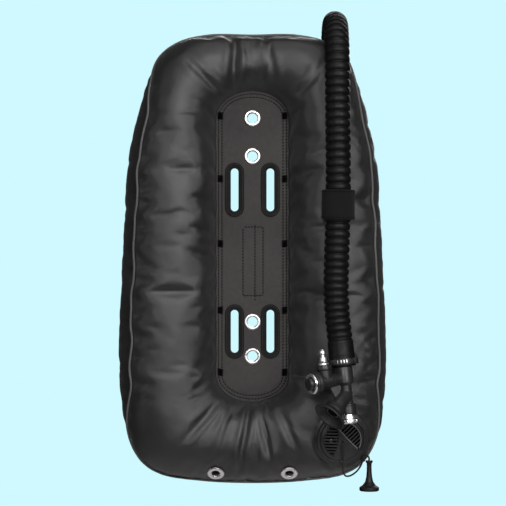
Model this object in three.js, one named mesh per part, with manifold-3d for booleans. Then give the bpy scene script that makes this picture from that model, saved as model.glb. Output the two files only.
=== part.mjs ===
// Back-inflation buoyancy wing for diving: a ring-shaped air cell round a flat centre panel,
// with a corrugated inflator hose over the left shoulder and a dump valve at the lower left.
// Millimetres, +Z up towards the diver's head, the diver's side faces -Y.
// The origin is on the centre panel's diver-side face, midway between the two bolt rows.
import * as THREE from 'three';
import { mergeVertices } from 'three/addons/utils/BufferGeometryUtils.js';
import Module from 'manifold-3d';

const wasm = await Module();
wasm.setup();

// ---------------------------------------------------------------- driving dimensions
const gap = 0.3; // between pieces that touch
const cutGap = 0.4; // round a port that passes through fabric

// air cell outline, right half from the top centre to the bottom centre: x, z
const cellOutline = [
  [0, 276], [60, 276], [101, 266], [127, 246], [143, 208], [157, 160], [168, 107], [173, 41],
  [177, -41], [180.5, -110], [181.5, -173], [178, -222], [170.5, -267], [151, -304], [125, -321],
  [70, -330], [0, -333],
];
const cell = {
  frontRise: 47, backRise: 57, // crest heights at the sides
  topFrontRise: 28, topBackRise: 32, bottomFrontRise: 38, bottomBackRise: 45,
  seamAngle: 145, endSeamAngle: 176, // where the front seam sits round the section, degrees
  seamTurn: 38, // direction, in degrees from level, where the seam has reached the edge
  wall: 1.2, flange: 8, sideSteps: 8, endSteps: 11, panelSteps: 6, gussetSteps: 2,
};
const bladder = { sideInset: 9, crestInset: 8, wall: 0.7, steps: 5 };
const pipingRadius = 1.5;

const panel = { halfWidth: 50, top: 201, bottom: -224, endRise: 37, sheet: 1.6 };
const patch = { halfWidth: 13.5, top: 15, bottom: -79 }; // stitched rectangle, where the mounts lie
const slot = { width: 10.5, length: 59, trimWidth: 8, trimSheet: 1.2, x: 24.5, upper: 66, lower: -128 };
const boltRows = [164, 112, -115, -162];
const grommet = { outer: 11.4, hole: 7, sheet: 1.6, wall: 0.9, segments: 14 };
const drain = {
  x: 50, z: -319.5, outer: 11.75, hole: 5.6, wall: 0.9, sheet: 1.4, washer: 8.8, drop: 4.2,
  segments: 16,
};

const elbowPort = { x: 109, z: 168, radius: 25.6, depth: 12, stand: 2, neck: 17, neckHeight: 7, bore: 11 };
const elbow = {
  radius: 12.8, wall: 2.5, flange: 17.5, flangeSheet: 2.4, gasket: 1.2, nut: 21.5, nutLip: 2,
  lipClearance: 2, rise: 2, outletX: 4, outletBack: 31.9, outletUp: 45.7, // outlet from the port's seat
};
const hoseDiameter = 34;
const hoseSides = 10;

const dump = {
  x: 119.2, z: -270, outer: 33.6, wall: 3.1, depth: 14, stand: 8, floor: 4, seat: 4,
  seal: 1.4, poppetClearance: 3.5, poppetSheet: 2.5, stem: 2.5, travel: 4, capWall: 2.6, capRise: 7.6,
  capCrown: 0.5, capSheet: 2.2, cordHole: 2.4,
};
const cordDiameter = 2.5;
const knob = { collar: 4.8, stem: 3.3, flare: 13.5, length: 42, bore: 1.65 };

const cuff = { outer: 17.3, length: 35 };
const tie = { thickness: 1.4, width: 9.5, place: -29 };
const body = {
  barb: 10, upper: 12, upperEnd: -57, lower: 8.2, lowerEnd: -84, collar: 10.9, collarBore: 9.9,
  bottom: -99, bore: 6, seat: 4, seatTop: -58, seatSheet: 2,
};
const branch = {
  z: -50, turn: 30, droop: 0.08, tube: 7, housing: 10, housingStart: 20, collar: 15.5, collarStart: 40,
  end: 50, bore: 4.6, recess: 9.4, recessDepth: 7.2, tower: 9.8, towerAt: 30, towerTop: 21,
  seat: 3, seatAt: 18, seatSheet: 2,
};
const button = { radius: 9, skirt: 1.5, start: 47, shoulder: 56, end: 58.5, stem: 1.5 };
const deflate = {
  radius: 9.6, flare: 10.4, skirt: 1.4, top: -97, bottom: -111, travel: 5, stem: 1.6, disc: 5.5,
};
const mouth = {
  z: -73, turn: 35, duct: 9.75, bore: 6.5, ductEnd: 37, sleeve: 14.75, start: 29, sleeveEnd: 36,
  lip: 23, end: 46, lipOval: 0.72,
};
const nipple = { spigot: 2.4, bore: 1.2, base: 5.9, shaft: 3.95, groove: 3.1, height: 21.6 };
const guide = { share: 0.865, bore: 1.65, outer: 3.4, half: 2.2 };
const retainer = { halfWidth: 22.2, halfDepth: 19.3, length: 40, place: 43.6, clearance: 0.6 };

// Centre line of the corrugated hose: out of the elbow behind the cell, over the top, down the front.
const hoseRoute = [
  [113, 93, 214], [113, 93, 224], [113, 89.4, 243], [113.1, 78.4, 263], [113.2, 63.2, 278],
  [113.2, 43, 290], [113.3, 21, 295], [113.3, 0, 293.5], [113.4, -20, 286.5], [113.4, -38, 273.3],
  [113.5, -50.8, 256.5], [113.6, -58.2, 237], [113.7, -60.8, 216], [113.8, -62, 190],
  [114, -63.2, 160], [114.2, -64.5, 130], [114.4, -66, 100], [114.4, -67, 70], [114.2, -68, 40],
  [113.4, -68.5, 10], [112.4, -69, -20], [111.7, -69, -50], [111.8, -69.5, -80],
  [113.2, -70.6, -105], [115.1, -72.3, -122], [116.7, -73.7, -137],
];
// Pull cord: out of the cap, down the front, round the lower edge and up into the knob.
const cordRoute = [
  [121.8, -53.6, -271.9], [122.4, -56.8, -272.8], [122.8, -59, -276], [122.6, -58, -282],
  [122.3, -53.5, -292], [122, -48.5, -302], [122, -42, -311], [123.5, -33, -319],
  [128, -24, -323.5], [135, -18, -322.5], [142, -16, -317.5], [147.5, -15.5, -310],
  [150.2, -14.5, -303], [152.8, -12, -298], [156.2, -9.2, -297], [158.8, -7.4, -299.6],
  [159.4, -6.8, -303.5],
];

const plastic = { color: 0x232325, roughness: 0.45, metalness: 0 };
const fabric = { color: 0x36363a, roughness: 0.5, metalness: 0 };
const darkFabric = { color: 0x1b1b1d, roughness: 0.85, metalness: 0 };
const rubber = { color: 0x161617, roughness: 0.7, metalness: 0 };
const chrome = { color: 0xd8d8da, roughness: 0.15, metalness: 1 };
const steel = { color: 0xb9bcc0, roughness: 0.3, metalness: 1 };
const film = { color: 0xc9c4a8, roughness: 0.4, metalness: 0 };

// ---------------------------------------------------------------- solids
const model = new THREE.Group();
const zAxis = new THREE.Vector3(0, 0, 1);

function addPart(name, geometry, material, group = model) {
  const mesh = new THREE.Mesh(geometry, new THREE.MeshStandardMaterial(material));
  mesh.name = name;
  group.add(mesh);
  return mesh;
}

// Merges shared corners and drops the triangles that shrink to nothing on an axis.
function weld(geometry) {
  geometry.deleteAttribute('normal');
  geometry.deleteAttribute('uv');
  const merged = mergeVertices(geometry, 1e-4);
  const index = merged.getIndex().array;
  const kept = [];
  for (let i = 0; i < index.length; i += 3) {
    const [a, b, c] = [index[i], index[i + 1], index[i + 2]];
    if (a !== b && b !== c && c !== a) kept.push(a, b, c);
  }
  merged.setIndex(kept);
  return merged;
}

function toSolid(geometry) {
  const clean = weld(geometry.clone());
  return new wasm.Manifold(new wasm.Mesh({
    numProp: 3,
    vertProperties: new Float32Array(clean.getAttribute('position').array),
    triVerts: new Uint32Array(clean.getIndex().array),
  }));
}

function toGeometry(solid) {
  const mesh = solid.getMesh();
  const geometry = new THREE.BufferGeometry();
  const positions = new Float32Array(mesh.vertProperties);
  geometry.setAttribute('position', new THREE.BufferAttribute(positions, 3));
  geometry.setIndex(new THREE.BufferAttribute(new Uint32Array(mesh.triVerts), 1));
  return geometry;
}

// A turned solid about +Z from a profile of [radius, height] points, which closes on itself
// or along the axis.
function turned(profile, segments = 20) {
  let area = 0;
  profile.forEach(([r, z], i) => {
    const [nextR, nextZ] = profile[(i + 1) % profile.length];
    area += r * nextZ - nextR * z;
  });
  let ordered = area > 0 ? [...profile] : [...profile].reverse();
  const start = ordered.findIndex(([r], i) => r === 0 && ordered.at(i - 1)[0] === 0);
  if (start < 0) ordered.push(ordered[0]);
  else ordered = [...ordered.slice(start), ...ordered.slice(0, start)];
  const points = ordered.map(([r, z]) => new THREE.Vector2(r, z));
  return weld(new THREE.LatheGeometry(points, segments).rotateX(Math.PI / 2));
}

function rod(radius, from, to, segments) {
  return turned([[0, from], [radius, from], [radius, to], [0, to]], segments);
}

function ring(inner, outer, from, to, segments) {
  return turned([[inner, from], [outer, from], [outer, to], [inner, to]], segments);
}

// Turns a solid made about +Z so that +Z lies along an axis, and moves it to a point.
function placed(geometry, point, axis) {
  const turn = new THREE.Quaternion().setFromUnitVectors(zAxis, axis.clone().normalize());
  return geometry.clone().applyQuaternion(turn).translate(point.x, point.y, point.z);
}

// A group at a point with its +Z along an axis and, if given, its +Y along a direction across it.
function placedGroup(point, axis, parent = model, across = null) {
  const group = new THREE.Group();
  group.position.copy(point);
  group.quaternion.setFromUnitVectors(zAxis, axis.clone().normalize());
  if (across) {
    const third = across.clone().cross(axis).normalize();
    group.quaternion.setFromRotationMatrix(new THREE.Matrix4().makeBasis(third, across, axis));
  }
  parent.add(group);
  return group;
}

// A closed skin over rings of points: every ring has the same count, and the last meets the first.
function ringSolid(rings) {
  const count = rings[0].length;
  const positions = rings.flat().flatMap((p) => [p.x, p.y, p.z]);
  const index = [];
  rings.forEach((_, i) => {
    const next = (i + 1) % rings.length;
    for (let j = 0; j < count; j += 1) {
      const k = (j + 1) % count;
      const [a, b, c, d] = [i * count + j, next * count + j, next * count + k, i * count + k];
      index.push(a, b, c, a, c, d);
    }
  });
  const geometry = new THREE.BufferGeometry();
  geometry.setAttribute('position', new THREE.Float32BufferAttribute(positions, 3));
  geometry.setIndex(index);
  return signedVolume(geometry) > 0 ? geometry : flipped(geometry);
}

function signedVolume(geometry) {
  const position = geometry.getAttribute('position');
  const index = geometry.getIndex().array;
  const corner = [new THREE.Vector3(), new THREE.Vector3(), new THREE.Vector3()];
  let volume = 0;
  for (let i = 0; i < index.length; i += 3) {
    corner.forEach((point, k) => point.fromBufferAttribute(position, index[i + k]));
    volume += corner[0].dot(corner[1].clone().cross(corner[2])) / 6;
  }
  return volume;
}

function flipped(geometry) {
  const index = [...geometry.getIndex().array];
  for (let i = 0; i < index.length; i += 3) {
    [index[i + 1], index[i + 2]] = [index[i + 2], index[i + 1]];
  }
  geometry.setIndex(index);
  return geometry;
}

function circle(radius, sides) {
  const points = Array.from({ length: sides }, (_, i) => {
    const angle = (i / sides) * 2 * Math.PI;
    return new THREE.Vector2(radius * Math.cos(angle), radius * Math.sin(angle));
  });
  return new THREE.Shape(points);
}

function tubeAlong(curve, radius, sides, steps, bore = 0) {
  const section = circle(radius, sides);
  if (bore > 0) section.holes.push(circle(bore, sides));
  return weld(new THREE.ExtrudeGeometry(section, { extrudePath: curve, steps, curveSegments: 1 }));
}

function smoothRoute(route) {
  const points = route.map((p) => new THREE.Vector3(...p));
  return new THREE.CatmullRomCurve3(points, false, 'centripetal');
}

// A coil spring about +Z between two heights.
function coilSpring(radius, wire, from, to, turns) {
  const coil = new THREE.Curve();
  coil.getPoint = (t, target = new THREE.Vector3()) => {
    const angle = t * turns * 2 * Math.PI;
    const z = THREE.MathUtils.lerp(from + wire, to - wire, t);
    return target.set(radius * Math.cos(angle), radius * Math.sin(angle), z);
  };
  return tubeAlong(coil, wire, 4, turns * 6);
}

// ---------------------------------------------------------------- air cell shape
const spineTop = panel.top - panel.endRise;
const spineBottom = panel.bottom + panel.endRise;
const midPlane = panel.sheet + gap + cell.wall + gap / 2; // between the two flanges
const flangeFace = cell.wall + gap / 2; // from the mid plane to a flange's outer face
const outlineCurve = new THREE.CatmullRomCurve3(
  [...cellOutline, ...cellOutline.slice(1, -1).reverse().map(([x, z]) => [-x, z])]
    .map(([x, z]) => new THREE.Vector3(x, 0, z)),
  true,
  'centripetal',
);
const outlinePoints = outlineCurve.getPoints(240);

// Distance from a point inside the outline to it along a direction.
function reach(originZ, dirX, dirZ) {
  for (let i = 0; i < outlinePoints.length - 1; i += 1) {
    const a = outlinePoints[i];
    const b = outlinePoints[i + 1];
    const edgeX = b.x - a.x;
    const edgeZ = b.z - a.z;
    const cross = dirX * edgeZ - dirZ * edgeX;
    if (Math.abs(cross) < 1e-9) continue;
    const along = (a.x * edgeZ - (a.z - originZ) * edgeX) / cross;
    const share = (a.x * dirZ - (a.z - originZ) * dirX) / cross;
    if (along > 0 && share >= 0 && share < 1) return along;
  }
  throw new Error('the outline has a gap');
}

// Distance from the spine to the panel's edge along a direction.
function panelEdge(dirX, dirZ) {
  return 1 / Math.hypot(dirX / panel.halfWidth, dirZ / panel.endRise);
}

// One station of the ring: a ray from the spine through the panel's edge to the outline.
function station(originZ, angle) {
  const dirX = Math.cos(angle);
  const dirZ = Math.sin(angle);
  const inner = panelEdge(dirX, dirZ);
  const width = reach(originZ, dirX, dirZ) - inner;
  const end = dirZ * dirZ;
  const [frontEnd, backEnd] = dirZ > 0
    ? [cell.topFrontRise, cell.topBackRise] : [cell.bottomFrontRise, cell.bottomBackRise];
  const turnShare = Math.asin(Math.abs(dirZ)) / THREE.MathUtils.degToRad(cell.seamTurn);
  const seamShare = THREE.MathUtils.smoothstep(turnShare, 0, 1);
  const sideSeam = THREE.MathUtils.degToRad(cell.seamAngle);
  const endSeam = THREE.MathUtils.degToRad(cell.endSeamAngle);
  return {
    originZ, dirX, dirZ, inner, width,
    front: THREE.MathUtils.lerp(cell.frontRise, frontEnd, end),
    back: THREE.MathUtils.lerp(cell.backRise, backEnd, end),
    frontSeam: THREE.MathUtils.lerp(sideSeam, endSeam, seamShare),
    backSeam: sideSeam,
  };
}

function ringStations() {
  const list = [];
  const height = spineTop - spineBottom;
  for (let i = 0; i < cell.sideSteps; i += 1) {
    list.push(station(spineBottom + (height * i) / cell.sideSteps, 0));
  }
  for (let i = 0; i < cell.endSteps; i += 1) {
    list.push(station(spineTop, (Math.PI * i) / cell.endSteps));
  }
  for (let i = 0; i < cell.sideSteps; i += 1) {
    list.push(station(spineTop - (height * i) / cell.sideSteps, Math.PI));
  }
  for (let i = 0; i < cell.endSteps; i += 1) {
    list.push(station(spineBottom, Math.PI + (Math.PI * i) / cell.endSteps));
  }
  return list;
}

// A point of a station's section: out from the panel's edge, and in depth.
function sectionPoint(place, out, y) {
  const radius = place.inner + out;
  return new THREE.Vector3(place.dirX * radius, y, place.originZ + place.dirZ * radius);
}

// Section of the shell at an angle round it, side -1 for the diver's side and 1 for the tank's.
// depth is how far inside the outer face the point lies.
function shellPoint(place, side, angle, depth = 0) {
  const rise = side < 0 ? place.front : place.back;
  const half = place.width / 2 - depth;
  const y = midPlane + side * (flangeFace - depth + rise * Math.sin(angle));
  return sectionPoint(place, depth + half * (1 - Math.cos(angle)), y);
}

function shellPanel(side) {
  return ringSolid(stations.map((place) => {
    const seam = side < 0 ? place.frontSeam : place.backSeam;
    const outer = [sectionPoint(place, -cell.flange, midPlane + side * flangeFace)];
    const inner = [sectionPoint(place, -cell.flange, midPlane + side * (flangeFace - cell.wall))];
    for (let i = 0; i <= cell.panelSteps; i += 1) {
      const angle = (seam * i) / cell.panelSteps;
      outer.push(shellPoint(place, side, angle));
      inner.push(shellPoint(place, side, angle, cell.wall));
    }
    return [...outer, ...inner.reverse()];
  }));
}

// Angle by which the gusset starts past the panel's seam, so that their edges meet with a gap.
function seamStep(place, rise, angle) {
  const pace = Math.hypot((place.width / 2) * Math.sin(angle), rise * Math.cos(angle));
  return gap / pace;
}

function gussetSolid() {
  return ringSolid(stations.map((place) => {
    const frontStart = place.frontSeam + seamStep(place, place.front, place.frontSeam);
    const backStart = place.backSeam + seamStep(place, place.back, place.backSeam);
    const spots = [];
    for (let i = 0; i <= cell.gussetSteps; i += 1) {
      spots.push([-1, THREE.MathUtils.lerp(frontStart, Math.PI, i / cell.gussetSteps)]);
    }
    for (let i = 0; i <= cell.gussetSteps; i += 1) {
      spots.push([1, THREE.MathUtils.lerp(Math.PI, backStart, i / cell.gussetSteps)]);
    }
    const outer = spots.map(([side, angle]) => shellPoint(place, side, angle));
    const inner = spots.map(([side, angle]) => shellPoint(place, side, angle, cell.wall));
    return [...outer, ...inner.reverse()];
  }));
}

// A four-sided piping cord lying on a seam.
function pipingSolid(side) {
  return ringSolid(stations.map((place) => {
    const rise = side < 0 ? place.front : place.back;
    const seam = side < 0 ? place.frontSeam : place.backSeam;
    const seat = shellPoint(place, side, seam);
    const outX = rise * -Math.cos(seam);
    const outY = side * (place.width / 2) * Math.sin(seam);
    const length = Math.hypot(outX, outY);
    const away = new THREE.Vector3((place.dirX * outX) / length, outY / length, (place.dirZ * outX) / length);
    const across = new THREE.Vector3(
      (place.dirX * outY) / length, -outX / length, (place.dirZ * outY) / length,
    );
    const middle = seat.addScaledVector(away, pipingRadius + gap + cell.wall / 4);
    return [[1, 0], [0, 1], [-1, 0], [0, -1]].map(([a, b]) => middle.clone()
      .addScaledVector(away, a * pipingRadius).addScaledVector(across, b * pipingRadius));
  }));
}

function bladderSkin(inset) {
  return ringSolid(stations.map((place) => {
    const half = place.width / 2 - bladder.sideInset - inset;
    const points = [];
    for (let i = 0; i < 2 * bladder.steps; i += 1) {
      const angle = (Math.PI * i) / bladder.steps;
      const rise = (Math.sin(angle) > 0 ? place.front : place.back) - bladder.crestInset - inset;
      const out = place.width / 2 - half * Math.cos(angle);
      points.push(sectionPoint(place, out, midPlane - rise * Math.sin(angle)));
    }
    return points;
  }));
}

// Where the shell's outer face is at a place seen from the front, with its outward direction.
function shellFace(x, z, side) {
  const depthAt = (atX, atZ) => {
    const originZ = THREE.MathUtils.clamp(atZ, spineBottom, spineTop);
    const place = station(originZ, Math.atan2(atZ - originZ, atX));
    const share = (Math.hypot(atX, atZ - originZ) - place.inner) / place.width;
    return shellPoint(place, side, Math.acos(1 - 2 * share)).y;
  };
  const step = 0.5;
  const slopeX = (depthAt(x + step, z) - depthAt(x - step, z)) / (2 * step);
  const slopeZ = (depthAt(x, z + step) - depthAt(x, z - step)) / (2 * step);
  const normal = new THREE.Vector3(-side * slopeX, side, -side * slopeZ).normalize();
  return { point: new THREE.Vector3(x, depthAt(x, z), z), normal };
}

const stations = ringStations();
const elbowSeat = shellFace(elbowPort.x, elbowPort.z, 1);
const dumpSeat = shellFace(dump.x, dump.z, -1);
const drainSeats = [-drain.x, drain.x].map((x) => shellFace(x, drain.z, -1));

function addAirCell() {
  const elbowTool = toSolid(placed(
    rod(elbowPort.radius + cutGap, -40, 40, 24), elbowSeat.point, elbowSeat.normal,
  ));
  const dumpTool = toSolid(placed(rod(dump.outer + cutGap, -40, 40, 28), dumpSeat.point, dumpSeat.normal));
  let front = toSolid(shellPanel(-1)).subtract(dumpTool);
  drainSeats.forEach((seat) => {
    const hole = rod(drain.hole + drain.wall + gap, -9, 9, drain.segments);
    front = front.subtract(toSolid(placed(hole, seat.point, seat.normal)));
  });
  addPart('shell_front_panel', toGeometry(front), fabric);
  addPart('shell_back_panel', toGeometry(toSolid(shellPanel(1)).subtract(elbowTool)), fabric);
  addPart('side_gusset', gussetSolid(), darkFabric);
  addPart('front_piping', pipingSolid(-1), darkFabric);
  addPart('back_piping', pipingSolid(1), darkFabric);
  const cellFilm = toSolid(bladderSkin(0)).subtract(toSolid(bladderSkin(bladder.wall)))
    .subtract(elbowTool).subtract(dumpTool);
  addPart('inner_bladder', toGeometry(cellFilm), film);
}

// ---------------------------------------------------------------- centre panel
const stackDepth = 2 * midPlane; // front face of the front sheet to back face of the back sheet

function panelOutline(inset) {
  const points = [];
  [[0, spineTop], [Math.PI, spineBottom]].forEach(([start, z]) => {
    for (let i = 0; i <= cell.endSteps; i += 1) {
      const angle = start + (Math.PI * i) / cell.endSteps;
      const radius = panelEdge(Math.cos(angle), Math.sin(angle)) - inset;
      points.push(new THREE.Vector2(radius * Math.cos(angle), z + radius * Math.sin(angle)));
    }
  });
  return points;
}

// Outline of a slot, grown by an amount: straight sides and round ends.
function slotPoints(grow) {
  const radius = slot.width / 2 + grow;
  const straight = (slot.length - slot.width) / 2;
  const steps = 5;
  const points = [];
  [0, Math.PI].forEach((start) => {
    for (let i = 0; i <= steps; i += 1) {
      const angle = start + (Math.PI * i) / steps;
      const shift = start === 0 ? straight : -straight;
      points.push(new THREE.Vector2(radius * Math.cos(angle), shift + radius * Math.sin(angle)));
    }
  });
  return points;
}

const slotPlaces = [
  ['upper_left', -slot.x, slot.upper], ['upper_right', slot.x, slot.upper],
  ['lower_left', -slot.x, slot.lower], ['lower_right', slot.x, slot.lower],
];

// A sheet of the panel with its holes. The stitched rectangle is a face of its own.
function panelSheet(inset, thickness) {
  const holes = slotPlaces.map(([, x, z]) => slotPoints(slot.trimSheet + gap)
    .map((p) => new THREE.Vector2(p.x + x, p.y + z)).reverse());
  boltRows.forEach((z) => {
    const points = circle(grommet.hole + grommet.wall + gap, grommet.segments).getPoints();
    holes.push(points.map((p) => new THREE.Vector2(p.x, p.y + z)).reverse());
  });
  const rectangle = [
    [-patch.halfWidth, patch.top], [patch.halfWidth, patch.top],
    [patch.halfWidth, patch.bottom], [-patch.halfWidth, patch.bottom],
  ].map(([x, z]) => new THREE.Vector2(x, z));
  const loops = [panelOutline(inset), ...holes, rectangle];
  const flat = loops.flat();
  const triangles = THREE.ShapeUtils.triangulateShape(loops[0], loops.slice(1));
  const corner = flat.length - rectangle.length;
  triangles.push([corner, corner + 2, corner + 1], [corner, corner + 3, corner + 2]);
  const index = [];
  triangles.forEach(([a, b, c]) => {
    index.push(a, b, c, a + flat.length, c + flat.length, b + flat.length);
  });
  let first = 0;
  loops.slice(0, -1).forEach((loop) => {
    loop.forEach((_, i) => {
      const a = first + i;
      const b = first + ((i + 1) % loop.length);
      index.push(a, a + flat.length, b, b, a + flat.length, b + flat.length);
    });
    first += loop.length;
  });
  const geometry = new THREE.BufferGeometry();
  const positions = [0, thickness].flatMap((y) => flat.flatMap((p) => [p.x, y, p.y]));
  geometry.setAttribute('position', new THREE.Float32BufferAttribute(positions, 3));
  geometry.setIndex(index);
  return weld(geometry);
}

// A bound slot: a flange on each face joined by the wall that lines the slot.
function slotTrim() {
  const profile = [
    [0, -gap - slot.trimSheet], [slot.trimWidth, -gap - slot.trimSheet], [slot.trimWidth, -gap],
    [slot.trimSheet, -gap], [slot.trimSheet, stackDepth + gap], [slot.trimWidth, stackDepth + gap],
    [slot.trimWidth, stackDepth + gap + slot.trimSheet], [0, stackDepth + gap + slot.trimSheet],
  ];
  const loops = profile.map(([grow, y]) => slotPoints(grow).map((p) => new THREE.Vector3(p.x, y, p.y)));
  return ringSolid(loops[0].map((_, i) => loops.map((loop) => loop[i])));
}

function addCentrePanel() {
  const panelInset = cutGap;
  const sheetInset = cell.flange + cutGap;
  const inner = stackDepth - 2 * (panel.sheet + gap);
  addPart('centre_panel_front', panelSheet(panelInset, panel.sheet), fabric);
  addPart('centre_interlining', panelSheet(sheetInset, inner), darkFabric).position.y = panel.sheet + gap;
  addPart('centre_panel_back', panelSheet(panelInset, panel.sheet), fabric).position.y =
    stackDepth - panel.sheet;
  slotPlaces.forEach(([name, x, z]) => {
    addPart(`band_slot_trim_${name}`, slotTrim(), darkFabric).position.set(x, 0, z);
  });
  boltRows.forEach((z, i) => {
    const group = placedGroup(new THREE.Vector3(0, 0, z), new THREE.Vector3(0, -1, 0));
    const tip = -stackDepth - gap - grommet.sheet;
    const front = turned([
      [grommet.hole, tip], [grommet.hole + grommet.wall, tip], [grommet.hole + grommet.wall, gap],
      [grommet.outer, gap], [grommet.outer - 1, gap + grommet.sheet],
      [grommet.hole + 1, gap + grommet.sheet], [grommet.hole, -gap],
    ], grommet.segments);
    const washerBore = grommet.hole + grommet.wall + gap;
    const washer = ring(washerBore, grommet.outer, tip, -stackDepth - gap, grommet.segments);
    addPart(`bolt_grommet_${i + 1}`, front, chrome, group);
    addPart(`bolt_grommet_washer_${i + 1}`, washer, steel, group);
  });
}

function addDrainGrommets() {
  ['left', 'right'].forEach((name, i) => {
    const group = placedGroup(drainSeats[i].point, drainSeats[i].normal);
    const neck = drain.hole + drain.wall;
    const foot = -cell.wall - drain.drop;
    const front = turned([
      [drain.hole, foot], [neck, foot], [neck, gap], [drain.outer, gap],
      [drain.outer - 1, gap + drain.sheet], [drain.hole + 1.5, gap + drain.sheet], [drain.hole, -gap],
    ], drain.segments);
    const washer = ring(neck + gap, drain.washer, foot, foot + cell.wall, drain.segments);
    addPart(`drain_grommet_${name}`, front, chrome, group);
    addPart(`drain_grommet_washer_${name}`, washer, steel, group);
  });
}

// ---------------------------------------------------------------- elbow and hose
const hoseCurve = smoothRoute(hoseRoute);
const hoseRadius = hoseDiameter / 2;

function addElbowAndHose() {
  const group = placedGroup(elbowSeat.point, elbowSeat.normal);
  const port = elbowPort;
  const neckTop = port.stand + port.neckHeight;
  addPart('elbow_port_flange', turned([
    [port.bore, -port.depth], [port.radius, -port.depth], [port.radius, port.stand],
    [port.neck, port.stand], [port.neck, neckTop], [port.bore, neckTop],
  ], 24), plastic, group);
  const gasketTop = neckTop + gap + elbow.gasket;
  addPart('elbow_gasket', ring(port.bore, port.neck - 0.5, neckTop + gap, gasketTop), rubber, group);
  const flangeFoot = gasketTop + gap;
  const flangeTop = flangeFoot + elbow.flangeSheet;
  const nutTop = flangeTop + gap + elbow.nutLip;
  addPart('elbow_retaining_nut', turned([
    [port.neck + cutGap, port.stand + gap], [elbow.nut, port.stand + gap], [elbow.nut, nutTop],
    [elbow.radius + elbow.lipClearance, nutTop], [elbow.radius + elbow.lipClearance, flangeTop + gap],
    [elbow.flange + cutGap, flangeTop + gap], [elbow.flange + cutGap, flangeFoot - cutGap],
    [port.neck + cutGap, flangeFoot - 2 * cutGap],
  ], 24), plastic, group);

  const foot = elbowSeat.point.clone().addScaledVector(elbowSeat.normal, flangeFoot);
  const hoseStart = new THREE.Vector3(...hoseRoute[0]);
  const outlet = elbowSeat.point.clone()
    .add(new THREE.Vector3(elbow.outletX, elbow.outletBack, elbow.outletUp));
  const riser = foot.clone().addScaledVector(elbowSeat.normal, nutTop - flangeFoot + elbow.rise);
  const turnReach = 0.6 * (outlet.y - riser.y);
  const bend = new THREE.CurvePath();
  bend.add(new THREE.LineCurve3(foot, riser));
  bend.add(new THREE.CubicBezierCurve3(
    riser, riser.clone().addScaledVector(elbowSeat.normal, turnReach),
    new THREE.Vector3(outlet.x, outlet.y, riser.z + turnReach), outlet,
  ));
  const bore = elbow.radius - elbow.wall;
  const pipe = toSolid(tubeAlong(bend, elbow.radius, 14, 18, bore));
  const flange = toSolid(placed(
    ring(bore, elbow.flange, flangeFoot, flangeTop), elbowSeat.point, elbowSeat.normal,
  ));
  addPart('elbow', toGeometry(pipe.add(flange)), plastic);

  addPart('corrugated_hose', tubeAlong(hoseCurve, hoseRadius, hoseSides, 40), rubber);
  const tieGroup = placedGroup(hoseStart, zAxis);
  addPart('elbow_cable_tie', ring(
    hoseRadius + gap, hoseRadius + gap + tie.thickness, gap, gap + tie.width, 20,
  ), plastic, tieGroup);
}

function addHoseRetainer() {
  const share = routeShareAtHeight(retainer.place);
  const group = placedGroup(hoseCurve.getPointAt(share), hoseCurve.getTangentAt(share).negate());
  const outline = new THREE.Shape();
  outline.absellipse(0, 0, retainer.halfWidth, retainer.halfDepth, 0, 2 * Math.PI);
  outline.holes.push(circle(hoseRadius + retainer.clearance, 20));
  const band = new THREE.ExtrudeGeometry(outline, {
    depth: retainer.length, bevelEnabled: false, curveSegments: 12,
  });
  addPart('hose_retainer', weld(band.translate(0, 0, -retainer.length / 2)), darkFabric, group);
}

// How far along the hose its front run reaches a height.
function routeShareAtHeight(height) {
  let low = 0.5;
  let high = 1;
  for (let i = 0; i < 40; i += 1) {
    const middle = (low + high) / 2;
    if (hoseCurve.getPointAt(middle).z > height) low = middle;
    else high = middle;
  }
  return low;
}

// ---------------------------------------------------------------- inflator
const hoseEnd = new THREE.Vector3(...hoseRoute.at(-1));
const inflatorUp = new THREE.Vector3(...hoseRoute.at(-2)).sub(hoseEnd).normalize();
const branchTurn = THREE.MathUtils.degToRad(branch.turn);
const branchAxis = new THREE.Vector3(
  -Math.cos(branchTurn), -Math.sin(branchTurn), -branch.droop,
).normalize();
const branchFoot = new THREE.Vector3(0, 0, branch.z);
const mouthTurn = THREE.MathUtils.degToRad(mouth.turn);
const mouthAxis = new THREE.Vector3(
  -Math.cos(mouthTurn), -Math.sin(mouthTurn) * Math.SQRT2, -Math.cos(mouthTurn),
).normalize();
const mouthFoot = new THREE.Vector3(0, 0, mouth.z);
const towerFoot = branchFoot.clone().addScaledVector(branchAxis, branch.towerAt);

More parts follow.
